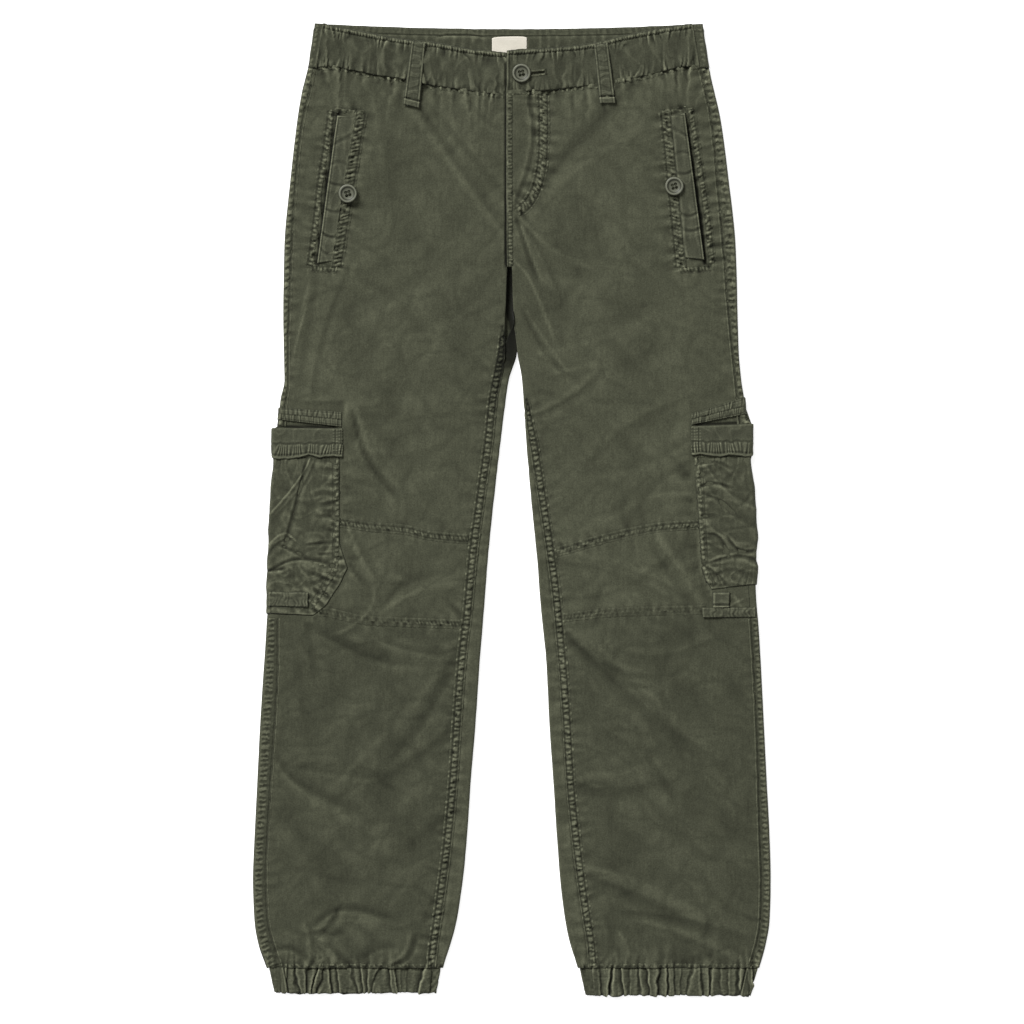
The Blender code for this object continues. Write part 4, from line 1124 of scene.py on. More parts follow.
# The inner edge: flat to the centre back seam above the crotch, turned up and over below it.
def innerCurl(side, down):
    count = backLeg["curl"]
    turn = ease((down - crotchDown) / curlLength)
    inner = outline(side, "inner", down)
    low = liftAt(side, inner, down)
    step = math.pi * layers["fold"] / count
    heading = np.pi * turn * (np.arange(count) + 0.5)[None, :] / count
    zero = np.zeros_like(down)
    x = joined(zero, -np.cumsum(step * np.cos(heading), axis=1))
    z = joined(zero, np.cumsum(step * np.sin(heading), axis=1))
    wrap = np.maximum(1.0, (outline(side, "inseam", down) - inner - layers["fold"]) * turn)
    part = (np.arange(backLeg["over"]) + 1)[None, :] / backLeg["over"]
    overX = x[:, -1:] - wrap * part * np.cos(np.pi * turn)
    overZ = z[:, -1:] + wrap * part * np.sin(np.pi * turn)
    shift = inner - np.minimum(x.min(axis=1, keepdims=True), overX.min(axis=1, keepdims=True))
    overX = overX + shift
    overZ = mix(overZ + low, frontLevel(side, overX, down) - 0.1, turn)
    return joined(x + shift, overX), joined(z + low, overZ)


# Soft dents of the underside, which only rise from the table.
def backRelief(side, outward, down):
    return np.clip(0.35 + layered(backLeg["layers"], outward, down, seedOf("back", side)), 0.0, 1.3)


def makeBackLeg(side):
    down = np.linspace(cuffSeam + 0.5, backWaistSeam + 0.15, backLeg["rows"] + 1)[:, None]
    turnO, turnZ = outerTurn(side, down, 0.0)
    curlO, curlZ = innerCurl(side, down)
    t = shares(backLeg["wrap"])[None, :-1]
    wrapO = mix(outline(side, "seam", down) - 0.8, turnO[:, :1], t)
    wrapZ = frontLevel(side, wrapO, down) - 0.3 * (1 - t) ** 2
    t = uneven(backLeg["flat"], 0.4)[None, 1:-1]
    flatO = mix(turnO[:, -1:], curlO[:, :1], t)
    flatZ = liftAt(side, flatO, down)
    outward, height = joined(wrapO, turnO, flatO, curlO), joined(wrapZ, turnZ, flatZ, curlZ)
    turn = ease((down - crotchDown) / curlLength)
    # 1 where the back shows on the front, 0 on the underside
    onTop = joined(1 + 0 * wrapO, np.linspace(1, 0, backLeg["fold"] + 1) + 0 * turnO, 0 * flatO,
                   turn * np.linspace(0, 1, backLeg["curl"] + 1), turn + np.zeros(backLeg["over"]))
    # painted shadow on the right leg's inner turn below the crotch and along the top of the cargo hem; the cloth sinks
    # there too
    crotchAndMouthShadow = joined(0 * wrapO, 0 * turnO, 0 * flatO, float(side == "right") + 0 * curlO)
    crotchAndMouthShadow = crotchAndMouthShadow * ease((down - 236) / 10) * fade((down - 318) / 44)
    down = down + 0 * outward
    place = side, outward, down
    above = (frontDetail(*place) - panelBed(*place)) * onTop
    mouth, hemShadow = mouthBed(*place)
    crotchAndMouthShadow = np.maximum(0.6 * crotchAndMouthShadow, 0.5 * mouth * hemShadow * onTop)
    relief = above - (1 - onTop) ** 2 * backRelief(*place) - 3 * crotchAndMouthShadow * onTop**4
    clothPiece(f"back_leg_{side}", world(*place, height), relief,
               "thigh", facing=-1.0, shade=-crotchAndMouthShadow)


# Waistband.

frontBand = dict(columns=178, rows=46, underLap=32.0, innerEnd={"right": 5.5, "left": -5.2},
                 cut=dict(flat=(0.2, 0.05), area=0.0085, held="gathered"),
                 dents=((grain, 1.2, 0, (1, 0.55, 17), (-0.3, 1, 30)), (grain, 0.9, 5, (1, -0.5, 12), (0.4, 1, 30)),
                        (wrinkles, 0.5, 8, (1, -0.4, 26), (0.5, 1, 44))),
                 pleats=((2.2, 15.0, 1, 19.0, 1.6), (2.6, 6.5, 2, 8.0, 1.3)))
bandStrip = dict(seamLook, half=1.9, rise=0.2, rung=1.0, pitch=2.9, slant=0.2, margins=(1.6, 1.2), knots=0.3,
                 groove=2.4, stitched=(-1,), lines=((0.5, 0.5, 0.9),))
buttonSlit = [(14, 50.6), (24, 49.6), (31.5, 48.6)]


# Soft dents above, and sharp pleats along the waist seam, where the elastic draws the cloth up.
def bandDetail(side, outward, down):
    seed = seedOf("band", side)
    high = down - edgeDown(side, "waistTop", outward)
    low = edgeDown(side, "waistSeam", outward) - down
    tucks = pleats(outward, high, 7.5, seed + 3) - 0.45
    relief = layered(frontBand["dents"], outward, down, seed) * ease(low / 8 + 0.35) * ease(high / 7 + 0.2)
    relief = relief + drawnUp(frontBand["pleats"], outward, low, seed)
    relief = relief + 2.2 * tucks * bell(high - 6, 6.0) + 0.2 * grain(outward / 7, down / 8, seed + 6)
    rim = outline(side, "seam", down) - outward
    relief = relief * ease(rim / 5 + 0.2) + 0.5 * bell(rim - 1.2, 0.8)
    if side == "left":  # pressed flat under its button
        button = buttonPlaces["waist"]
        pressed = bell(np.hypot(outward - button[0], down - button[1]), 10.5, 4)
        relief = relief * (1 - pressed) - 0.6 * pressed
        away, along = nearPath(buttonSlit, outward, down)
        lips = bell(np.abs(away) - 2, 0.8) - 2.6 * bell(away, 0.95)
        relief = relief + lips * within(along, pathLength(buttonSlit), 2.0)
        past = outward + flyEdge
        relief = relief + bell(past - 1, 0.9) - 0.4 * bell(past - 3.2, 0.9)
    else:  # pressed down along the end that laps over it
        relief = relief - 2 * bell(outward - flyEdge - 0.6, 1.4) * ease((high - 7) / 5)
    return relief - 0.9 * bell(low, 0.8, 1) - 0.4 * bell(high, 0.7, 1)


def bandFace(side, outward, down):
    lapped = frontBand["innerEnd"][side] if side == "right" else frontBand["underLap"]
    near = fade((outward - lapped) / 26)
    level = layers["waistLift"] + layers["front"] + layers["band"] + 0.4
    level = level + near * (-0.8 if side == "right" else 1.3)
    return level + bandDetail(side, outward, down)


def makeFrontBand(side):
    extra = frontBand["underLap"] + flyEdge if side == "right" else 0.0
    u = shares(frontBand["columns"])[None, :]
    v = shares(frontBand["rows"])[:, None]
    innerEnd = frontBand["innerEnd"][side]
    outer = mix(float(outline(side, "seam", 44.0)), float(outline(side, "seam", 0.0)), v)
    outward = mix(outer, innerEnd - extra, u)
    top = edgeDown(side, "waistTop", outward)
    past = np.maximum(0.0, innerEnd - outward)
    bottom = edgeDown(side, "waistSeam", outward) - 0.1 - 2.5 * ease(past / 6) - 0.3 * past
    seed = seedOf("bandFoot", side)
    bottom = bottom + 0.8 * grain(outward / 8, 0 * outward, seed) + 0.5 * grain(outward / 2.9, 0 * outward, seed + 1)
    down = mix(bottom, top, v)
    relief = bandDetail(side, outward, down)
    strip = dict(bandStrip, points=crossLine(side, "waistTop", outline(side, "seam", 0.0) - 1, innerEnd + 0.4, 2.7))
    sunk = bandFace(side, outward, down) - 1.8 * seamBed(strip, outward, down)
    form = world(side, outward, down, sunk - relief)
    seam = seamPiece(f"waistband_top_stitching_{side}", side, strip, bandFace, "band", 700)
    clothPiece(f"waistband_front_{side}", form, relief, "band",
               wall=1.2, wearAndShade=dict(passes=4, gain=0.9))


backBand = dict(rows=30, wrap=7, flat=184, cut=dict(flat=(0.46, 0.05), area=0.0185, held="gathered"),
                foldLine=((-80, -66, -44, -23), (13.5, 10.4, 10.0, 13.0)))


# The back band's end, wrapped onto the front, and its turn down into the folded edge.
def bandSideFace(*place):
    return layers["waistLift"] + layers["front"] + 0.15 - layers["fold"] + foldRise(*place)


# Back waistband in one piece, wrapped at each side to the front band's seam; its inner face shows.
def makeBackBand():
    v = shares(backBand["rows"])[:, None]
    down = mix(backWaistSeam, 0.0, v)
    halves = {}
    for side in sideSign:
        turnO, turnZ = outerTurn(side, down, 0.15)
        wrapO = mix(outline(side, "seam", down) - 0.6, turnO[:, :1], shares(backBand["wrap"])[None, :-1])
        wrapZ = layers["waistLift"] + layers["front"] + 0.15 + 0 * wrapO
        halves[side] = joined(wrapO, turnO), joined(wrapZ, turnZ)
    (rightO, rightZ), (leftO, leftZ) = halves["right"], halves["left"]
    flatX = mix(-rightO[:, -1:], leftO[:, -1:], shares(backBand["flat"])[None, 1:-1])
    x = joined(-rightO, flatX, leftO[:, ::-1])
    z = joined(rightZ, layers["waistLift"] + 0.1 + 0 * flatX, leftZ[:, ::-1])
    top = 5.8 * np.clip(1 - (x / 200) ** 2, 0, 1) - 0.8 + 0.35 * grain(x / 22, 0 * x, 471)
    down = mix(backWaistSeam - 0.15, top, v)
    # gathers, the ribbed casing of the elastic along the top, and one long fold beside the label
    relief = 0.7 * (gathers(x, down, 12.0, 461) - 0.5) * (0.35 + 0.65 * (1 - v)) + 0.3 * grain(x / 9, down / 12, 463)
    ribs = np.cos(2 * math.pi * (x / 3.1 + 0.4 * grain(x / 8, 0 * x, 465)))
    ribs = ribs * (0.5 + 1.3 * grain(x / 11, down / 9, 467))
    strip = ease((down - top) / 0.8) * fade((down - top - 5.4) / 1.2)
    relief = relief * (1 - 0.6 * strip) - strip * (0.2 + 0.14 * ribs) + 0.5 * bell(down - top - 6.6, 1.0)
    fold = bell(down - np.interp(x, *backBand["foldLine"]), 1.0)
    relief = relief + 0.9 * fold * ease((x + 80) / 10) * ease((-22.0 - x) / 10)
    seams = [seamPiece(f"waistband_side_seam_{side}", side, seamTables[side]["waistband_side"], bandSideFace,
                       "band", 811) for side in sideSign]
    clothPiece("waistband_back", world("left", x, down, z), relief, "band",
               facing=-1.0, wall=1.3, wearAndShade=dict(passes=3, gain=-1.6))


# Cuffs.

cuffLook = dict(rows=28, front=190, fold=8, back=40, end=3, height=3.6,
                bottom={"right": 968.5, "left": 971.0}, cut=dict(flat=(0.4, 0.035), area=0.0115, held="gathered"))


# A flattened ring over elastic, drawn into uneven folds, with its seam at the inseam.
def makeCuff(side):
    look, radius, high = cuffLook, layers["fold"], layers["front"] - 0.6
    v = shares(look["rows"])[:, None]
    down = mix(look["bottom"][side] + 1, cuffSeam + 0.1, v)
    drawn = 2.2 * v
    outer, inner = outline(side, "outer", down) - drawn, outline(side, "inner", down) + drawn
    inseam = outline(side, "inseam", down) - 1
    angles = np.linspace(0, math.pi, look["fold"] + 1)[None, :-1]
    frontO = mix(inseam, outer - radius, shares(look["front"])[None, :-1])
    foldO, foldZ = outer - radius + radius * np.sin(angles), high / 2 * (1 + np.cos(angles))
    backO = mix(outer - radius, inner + radius, shares(look["back"])[None, :-1])
    curlO, curlZ = inner + radius - radius * np.sin(angles), high / 2 * (1 - np.cos(angles))
    endO = mix(inner + radius, inseam + 1.5, shares(look["end"])[None, :])
    outward = joined(frontO, foldO, backO, curlO, endO)
    height = joined(high + 0 * frontO, foldZ + 0 * down, 0 * backO, curlZ + 0 * down, high - 0.8 + 0 * endO)
    girth = 2 * outer - 2 * inner
    around = joined(frontO, foldO, 2 * outer - backO, girth + curlO, girth + endO)
    folds = cuffFolds(side, around, 26 * (1 - v))
    tight = pleats(around, 14 * v, 5.0, 527) - 0.4
    fine = grain(around / 4.5, 14 * v, 521) + 0.7 * grain(around / 2.4, 20 * v, 523)
    swell = 0.75 + 0.25 * np.sin(math.pi * v)
    relief = look["height"] * swell * (folds - 0.35) + 0.22 * fine
    relief = relief + 0.9 * tight * (bell(v, 0.25, 1) + 0.7 * bell(1 - v, 0.2, 1))
    relief = relief - 0.9 * bell(v, 0.05, 1) - 1.1 * bell(1 - v, 0.06, 1)
    sewn = outward - outline(side, "seam", down) + 1 + 2 * v
    flat = bell(sewn - 3.5, 4.0, 4)
    relief = relief * (1 - 0.7 * flat) - 1.3 * bell(sewn, 0.7) + 0.7 * bell(sewn - 1.5, 0.6)
    back = look["front"] + look["fold"]
    curl = back + look["back"]
    relief[:, curl:] *= 0.35
    relief[:, look["front"]:back] *= (1 + np.cos(angles)) / 2  # none of it goes below the table
    relief[:, curl:curl + look["fold"]] *= (1 - np.cos(angles)) / 2
    relief[:, back:curl] = -np.clip(relief[:, back:curl], 0.0, 1.4)
    low = 2.2 * (folds - 0.45) * (1 - v) ** 3
    clothPiece(f"cuff_{side}", world(side, outward, down + low, height), relief, "band",
               wearAndShade=dict(passes=6, gain=0.95))


# Rows of stitching on small pieces.

# The groove of each row of stitches and the puckers that it draws up on both sides.
def rowRelief(rows, outward, down, seed, groove=0.4, knots=0.45):
    relief = np.zeros(np.shape(outward))
    for index, points in enumerate(rows):
        here = inBox(points, 6.0, outward, down)
        if not here.any():
            continue
        away, along = nearPath(points, outward[here], down[here])
        beat = along / 2.9 + 0.4 * grain(along / 8, 0 * along, seed + index)
        puckers = np.cos(math.pi * beat) ** 2 - 0.4
        puckers = puckers * (0.75 + 0.6 * grain(along / 6, away / 6, seed + 9 + index))
        line = knots * puckers * bell(np.abs(away) - 1.5, 1.0) - groove * bell(away, 0.7)
        relief[here] += line * within(along, pathLength(points), 1.0)
    return relief


def addRows(side, rows, face):
    for points in rows:
        steps, line, _, ahead = seamPath(points)
        index = np.searchsorted(steps, np.arange(1.4, steps[-1] - 0.8, threadLook["spacing"]))
        sew(side, line[index], ahead[index], face)


# A bar of close crosswise stitches.
def addBartack(side, centre, turn, length, width, face):
    ahead = np.array((math.cos(turn), math.sin(turn)))
    spots = np.array(centre) + np.arange(-length / 2, length / 2, 0.75)[:, None] * ahead
    sew(side, spots, [(-ahead[1], ahead[0])] * len(spots), face, 0.15, width)


# Places within four corners, as outward and down, and their distance from the nearest edge.
def panelWorld(corners, rows, columns):
    topOuter, topInner, bottomInner, bottomOuter = [np.array(c, float) for c in corners]
    u = shares(columns)[None, :, None]
    v = shares(rows)[:, None, None]
    spot = mix(mix(bottomOuter, bottomInner, u), mix(topOuter, topInner, u), v)
    wide = np.hypot(*(topOuter - topInner))
    tall = np.hypot(*(topOuter - bottomOuter))
    u, v = u[:, :, 0], v[:, :, 0]
    edge = np.minimum(np.minimum(u, 1 - u) * wide, np.minimum(v, 1 - v) * tall)
    return spot[:, :, 0], spot[:, :, 1], edge


def patch(name, side, corners, grid, face, relief, finish):
    outward, down, edge = panelWorld(corners, *grid)
    roll = 0.7 * fade(edge / 1.3)
    level = face(side, outward, down)
    clothPiece(name, world(side, outward, down, level), relief(side, outward, down) - roll,
               finish, wearAndShade=dict(passes=3, gain=2.0))


# Front pocket welts.

# Puckers that run across each welt from the slit to its stitching.
weltCreases = {
    "right": (
        (181, 159, 174, 161, 162, 162, 1.9, -0.75, 0), (182, 165, 174, 167, 164, 168, 3.2, 0.36, 0),
        (184, 186, 176, 188, 166, 186, 1.9, -0.75, 0), (184, 192, 176, 194, 168, 193, 3.2, 0.3, 0),
        (189, 209, 181, 213, 170, 211, 1.8, -0.98, 0), (190, 215, 182, 219, 172, 217, 3.2, 0.36, 0),
        (177, 120, 170, 116, 160, 112, 2.2, -0.6, 0), (172, 96, 169, 112, 164, 138, 3.6, 0.36, 0),
        (180, 140, 172, 138, 162, 142, 2.2, -0.52, 0), (190, 226, 184, 230, 174, 228, 1.9, -0.6, 0),
    ),
    "left": (
        (178, 148, 172, 150, 163, 149, 1.9, -0.75, 0), (179, 154, 172, 156, 164, 155, 3.2, 0.36, 0),
        (183, 190, 176, 192, 168, 189, 1.9, -0.83, 0), (186, 205, 178, 207, 169, 204, 1.9, -0.83, 0),
        (186, 211, 178, 213, 170, 210, 3.2, 0.36, 0), (175, 112, 168, 108, 160, 104, 2, -0.52, 0),
        (170, 92, 167, 104, 163, 124, 3.4, 0.36, 0), (177, 130, 170, 128, 162, 131, 2, -0.52, 0),
    ),
}


weltFolds = ((grain, 0.4, 0, (1, -0.15, 7), (0, 1, 30)), (grain, 0.5, 1, (1, 0.4, 16), (-1, 1, 22)),
             (wrinkles, 0.35, 2, (1, -0.3, 15), (1, 1, 40)))


def weltDetail(side, outward, down):
    outerTop, outerFoot = welts[side][0], welts[side][3]
    edge = [(outerTop[0] - 2, outerTop[1] + 1), (outerFoot[0] - 2, outerFoot[1] - 1)]
    seed = seedOf("welt", side)
    folds = layered(weltFolds, outward, down, seed) + creaseRelief(weltCreases[side], outward, down)
    rim = np.minimum(weltLine(side, 0, 3)(down) - outward, down - outerTop[1])
    lips = 0.45 * bell(rim - 0.9, 0.6) - 0.25 * bell(rim - 2.4, 0.7)
    return folds + lips + rowRelief([edge], outward, down, seed + 3, groove=0.15, knots=0.2)


def makeWelt(side):
    patch(f"pocket_welt_{side}", side, welts[side], (150, 18), trimLevel, weltDetail, "trim")


# Belt loops.

frontLoops = {
    "right": ((100.4, 17.5), (86.2, 19.5), (92.5, 84.6), (109, 80.5)),
    "left": ((96, 19), (81.5, 21.5), (87.6, 80), (103.7, 79.6)),
}


def loopLevel(side, outward, down):
    seam = edgeDown(side, "waistSeam", outward)
    return frontLevel(side, outward, down) + mix(2.4, 1.6, ease((down - seam + 2) / 12))


# Puckered in uneven blocks down its middle, with a proud edge on each side and a turned foot.
def loopDetail(side, outward, down):
    topOuter, topInner, bottomInner, bottomOuter = frontLoops[side]
    foot = np.interp(outward, [bottomInner[0], bottomOuter[0]], [bottomInner[1], bottomOuter[1]]) - 7.2
    outer = np.interp(down, [topOuter[1], bottomOuter[1]], [topOuter[0], bottomOuter[0]])
    inner = np.interp(down, [topInner[1], bottomInner[1]], [topInner[0], bottomInner[0]])
    edge = np.minimum(outer - outward, outward - inner)
    seed = seedOf("loop", side)
    blocks = ease(0.5 + 0.9 * np.cos(2 * math.pi * (down / 8.5 + 0.5 * grain(down / 12, outward / 12, seed + 2))))
    relief = 0.35 * grain(outward / 8, down / 12, seed) + 0.15 * grain(outward / 3, down / 4, seed + 1)
    relief = relief + 0.4 * (blocks - 0.5) * ease((edge - 2.2) / 1.2)
    relief = relief + 0.3 * bell(edge - 1.3, 0.7) - 0.35 * bell(edge - 2.9, 0.6)
    folded = ease((down - foot - 0.6) / 0.8)
    return relief * (1 - 0.4 * folded) + 0.75 * folded - bell(down - foot, 0.9)


def makeFrontLoop(side):
    corners = frontLoops[side]
    patch(f"belt_loop_front_{side}", side, corners, (84, 24), loopLevel, loopDetail, "trim")
    face = faceOf(loopLevel, loopDetail)
    middle = [(corners[2][k] + corners[3][k]) / 2 for k in (0, 1)]
    turn = math.atan2(corners[3][1] - corners[2][1], corners[3][0] - corners[2][0])
    for spot in ((middle[0] - 0.8, middle[1] - 8.8), ((corners[0][0] + corners[1][0]) / 2, corners[0][1] + 5.2)):
        addBartack(side, spot, turn, 13.0, 1.8, face)


backLoops = dict(half=7.5, top=8, foot=63, stitches=4.6, grid=(56, 14),
                 centres=dict(right=-132.0, centre=2.0, left=132.0))


# Flat on the table under the back waistband.
def makeBackLoop(name, centre):
    half, top, foot, inset = [backLoops[key] for key in ("half", "top", "foot", "stitches")]
    corners = ((centre + half, top), (centre - half, top), (centre - half, foot), (centre + half, foot))
    outward, down, edge = panelWorld(corners, *backLoops["grid"])
    rows = [[(centre + at, top + 1), (centre + at, foot - 2)] for at in (-inset, inset)]
    relief = 0.1 * grain(outward / 6, down / 16, 651) + rowRelief(rows, outward, down, 652, 0.25, 0.1)
    relief = np.minimum(relief - 0.4 * fade(edge / 1.2), 0.1)
    form = world("left", outward, down, 0.1 + 0 * outward)
    clothPiece(f"belt_loop_back_{name}", form, relief, "trim",
               facing=-1.0, wearAndShade=dict(passes=3, gain=2.0))


# Cargo pockets, wrapped round the outer edge of the leg to the underside.

# Down of the top edge at its inner end and at the side, the same of the bottom edge, and the inner end.
cargoParts = {
    "right": {
        "mouth_strip": (388, 383.6, 403.2, 396, 170),
        "hem": (404.3, 403.6, 433, 433, 169),
        "bag": (433.5, 433.5, 593, 590, 172),
    },
    "left": {
        "mouth_strip": (389.7, 373, 401, 390.5, 179),
        "hem": (402.2, 399.6, 431.3, 432, 179),
        "bag": (431.8, 432.5, 568, 561, 181),
    },
}
bagInner = {
    "right": ((433, 172), (520, 172), (544, 164), (560, 171.5), (572, 179.5), (582, 186), (593, 201)),
    "left": ((431, 181), (470, 184), (506, 187), (546, 190), (556, 193), (568, 201)),
}
cargoGrid = {"mouth_strip": (18, 84, 22), "hem": (32, 96, 24), "bag": (116, 72, 16)}
bagCreases = {
    "right": (
        (202, 434, 215, 458, 243, 491, 1.1, 0.45, 0.3), (198, 440, 209, 462, 231, 488, 2.2, -0.35, 0.3),
        (209, 450, 216, 479, 225, 512, 2.4, -0.9, 0.3), (216, 450, 224, 478, 232, 506, 5, 0.4, 0.3),
        (220, 513, 230, 510, 243, 521, 1.2, 0.4, 0.3), (224, 515, 232, 518, 243, 528, 1.9, -0.55, 0.3),
        (232, 541, 211, 535, 182, 540, 2, -0.7, 0.3), (228, 546, 208, 541, 184, 545, 2.6, 0.2, 0),
        (228, 523, 219, 527, 209, 532, 2, -0.6, 0.3), (200, 520, 190, 519, 179, 518, 1.9, -0.7, 0),
        (191, 530, 186, 530, 180, 530, 1.6, -0.5, 0), (244, 547, 238, 546, 230, 545, 1.6, -0.8, 0.3),
        (186, 470, 198, 500, 204, 536, 7, 0.5, 0.4), (178, 500, 192, 520, 212, 530, 5, -0.4, 0.3),
        (192, 560, 214, 566, 240, 558, 4, 0.5, 0.3), (180, 452, 188, 462, 198, 468, 3.5, 0.4, 0.3),
    ),
    "left": (
        (196, 446, 216, 470, 240, 484, 4.5, 0.6, 0.5), (194, 456, 214, 482, 240, 500, 4, -0.55, -0.3),
        (190, 492, 208, 512, 240, 522, 4.5, 0.5, 0.4), (196, 520, 216, 528, 240, 522, 4, -0.5, 0.3),
        (196, 540, 214, 532, 238, 540, 4, 0.55, 0.3), (204, 552, 220, 546, 240, 552, 3.5, -0.5, 0.3),
        (200, 440, 214, 448, 226, 462, 3.5, -0.45, 0.3), (192, 439, 203, 438, 214, 442, 1.7, -0.6, 0),
        (192, 461, 202, 459, 214, 462, 1.5, -0.7, 0), (198, 472, 210, 478, 221, 488, 2.4, -0.7, 0.3),
        (198, 510, 208, 514, 216, 530, 2.2, -0.9, 0.3), (219, 518, 228, 526, 239, 527, 1.9, -0.8, 0.3),
        (205, 536, 226, 532, 245, 536, 2.2, -0.8, 0.3), (194, 543, 204, 550, 216, 563, 2.4, -0.7, 0.3),
    ),
}


# Down of the top and the bottom edge of a pocket piece.
def cargoEdges(side, part, outward):
    topIn, topSide, bottomIn, bottomSide, innerEnd = cargoParts[side][part]
    along = np.clip((outward - innerEnd) / (outline(side, "outer", topIn) - innerEnd), 0, 1)
    return mix(topIn, topSide, along), mix(bottomIn, bottomSide, along)


def bagEdgeAt(side, down):
    rows = bagInner[side]
    return np.interp(down, [r[0] for r in rows], [r[1] for r in rows])


bagSeam = dict(seamLook, half=2.9, pitch=5.1, rung=0.65, groove=0.7, pull=8.0, reach=16.0, drag=1.2,
               margins=(2.6, 1.0), rise=0.15, knots=0.3)
bagSeams = {
    "right": dict(bagSeam, points=((175.4, 434), (175.2, 470), (174.8, 500), (175, 522), (176, 545), (182.5, 556),
                                   (190, 568), (200, 584))),
    "left": dict(bagSeam, points=((184, 432), (187, 456), (188, 480), (190, 512), (192, 545), (195, 553),
                                  (200, 562))),
}


bagLook = dict(
    bent=((grain, 0.7, 0, (1, 0.6, 17), (-1, 1, 30)), (wrinkles, 0.25, 1, (1, -1, 30), (1, 1, 34)),
          (wrinkles, -0.3, 2, (1, 0.7, 28), (-1, 1, 38))),
    top=((0.9, 8.0, 4, 8.0, 1),), foot=((0.8, 7.5, 5, 9.0, 1),),
)


def bagDetail(side, outward, down):
    seed = seedOf("bag", side)
    bendO = outward + 5 * grain(outward / 24, down / 24, seed + 6)
    top, bottom = cargoEdges(side, "bag", outward)
    below, above = down - top, bottom - down
    inside = np.minimum(outward - bagEdgeAt(side, down), above)
    relief = (1.4 * creaseRelief(bagCreases[side], outward, down) + layered(bagLook["bent"], bendO, down, seed)
              + 0.12 * grain(outward / 4.5, down / 5.5, seed + 3) + drawnUp(bagLook["top"], outward, below, seed)
              - 0.8 * bell(below, 2.2, 1) + drawnUp(bagLook["foot"], outward, above, seed)
              + pullRelief(bagSeams[side], outward, down, seed + 7)
              + ease((down - 545) / 8) * 0.6 * grain(outward / 8, down / 7, seed + 9)
              + ease((down - 540) / 8) * 0.35 * wrinkles(outward / 15, down / 13, seed + 10))
    return relief * ease(inside / 5 + 0.3) - 0.9 * fade(inside / 1.6)


# How far the hem's lower edge hangs below its line, at places outward.
hemWave = {
    "right": ((169, 0.4), (182, -0.6), (192, 1.2), (203, -2.2), (211, 0.4), (223, 2.4), (236, 2.2), (243, 0.8)),
    "left": ((179, 0.0), (190, -0.8), (199, 0.8), (208, 1.6), (217, -0.8), (226, 0.2), (236, 1.2), (243, 0.0)),
}


def hemRows(side):
    top, _, bottom, _, innerEnd = cargoParts[side]["hem"]
    return [[(innerEnd + inset, top + 2), (innerEnd + inset, bottom - 3)] for inset in (1.8, 7.5)]


# Turned hem: plain above, ruched along its lower edge.
def hemDetail(side, outward, down):
    seed = seedOf("hem", side)
    top, bottom = cargoEdges(side, "hem", outward)
    v = (down - top) / (bottom - top)
    skew = 0.1 + 0.45 * grain(outward / 12, 0 * down, seed + 8)
    beat = (outward + skew * (bottom - down)) / 3.1 + 0.5 * grain(outward / 9, 0 * down, seed + 5)
    ribs = (0.5 + 0.5 * np.cos(2 * math.pi * beat)) ** 0.8 - 0.45
    start = 0.54 + 0.05 * grain(outward / 6, 0 * down, seed + 6)
    strength = 0.8 + 0.6 * grain(outward / 6, down / 9, seed + 7)
    plain = 0.35 * wrinkles((outward - 0.9 * down) / 19, (down + outward) / 30, seed + 1) * (1 - v)
    return (0.5 * grain((outward + 0.8 * down) / 13, (down - outward) / 24, seed) + plain
            + rowRelief(hemRows(side), outward, down, seed + 2, 0.55, 0.65)
            + 0.9 * ribs * ease((v - start) / 0.06) * fade((v - 0.88) / 0.06) * strength
            - 0.5 * bell(v - start, 0.04) + 0.5 * bell(v - 0.96, 0.045) - 0.4 * bell(v - 0.88, 0.03)
            - 0.7 * fade((outward - cargoParts[side]["hem"][4]) / 1.5) - 0.5 * fade((down - top) / 0.9))


def hemLevel(side, outward, down):
    bottom = cargoEdges(side, "hem", outward)[1]
    return trimLevel(side, outward, down) + 0.6 * ease(1 - (bottom - down) / 14)


def mouthRows(side):
    row = cargoParts[side]["mouth_strip"]
    outs = np.linspace(row[4] + 1, float(outline(side, "outer", row[0])) - 2, 9)
    top, bottom = cargoEdges(side, "mouth_strip", outs)
    return [[(float(o), float(d)) for o, d in zip(outs, mix(top, bottom, share))] for share in (0.1, 0.5, 0.88)]


# Two rows of uneven pads between three rows of stitches.
def mouthDetail(side, outward, down):
    seed = seedOf("mouth", side)
    top, bottom = cargoEdges(side, "mouth_strip", outward)
    row = np.where((down - top) / (bottom - top) < 0.5, 0.0, 5.0)
    inside = np.minimum(outward - cargoParts[side]["mouth_strip"][4], np.minimum(down - top, bottom - down))
    skew = 0.8 * grain(outward / 8, row, seed + 3)
    beat = (outward + skew * (down - top)) / 4.8 + 1.2 * grain(outward / 8, row, seed + 1) + 0.3 * row
    pads = (0.5 + 0.5 * np.cos(2 * math.pi * beat)) ** 0.6 - 0.5
    relief = rowRelief(mouthRows(side), outward, down, seed, 0.5, 0.15)
    relief = relief + 0.85 * pads * (0.8 + 0.8 * grain(outward / 6, row, seed + 4))
    return relief + 0.3 * grain(outward / 7, down / 9, seed + 2) - 0.6 * fade(inside / 1.2)


cargoLook = {
    "mouth_strip": (trimLevel, mouthDetail, "trim", mouthRows),
    "hem": (hemLevel, hemDetail, "trim", hemRows),
    "bag": (trimLevel, bagDetail, "pocket", None),
}


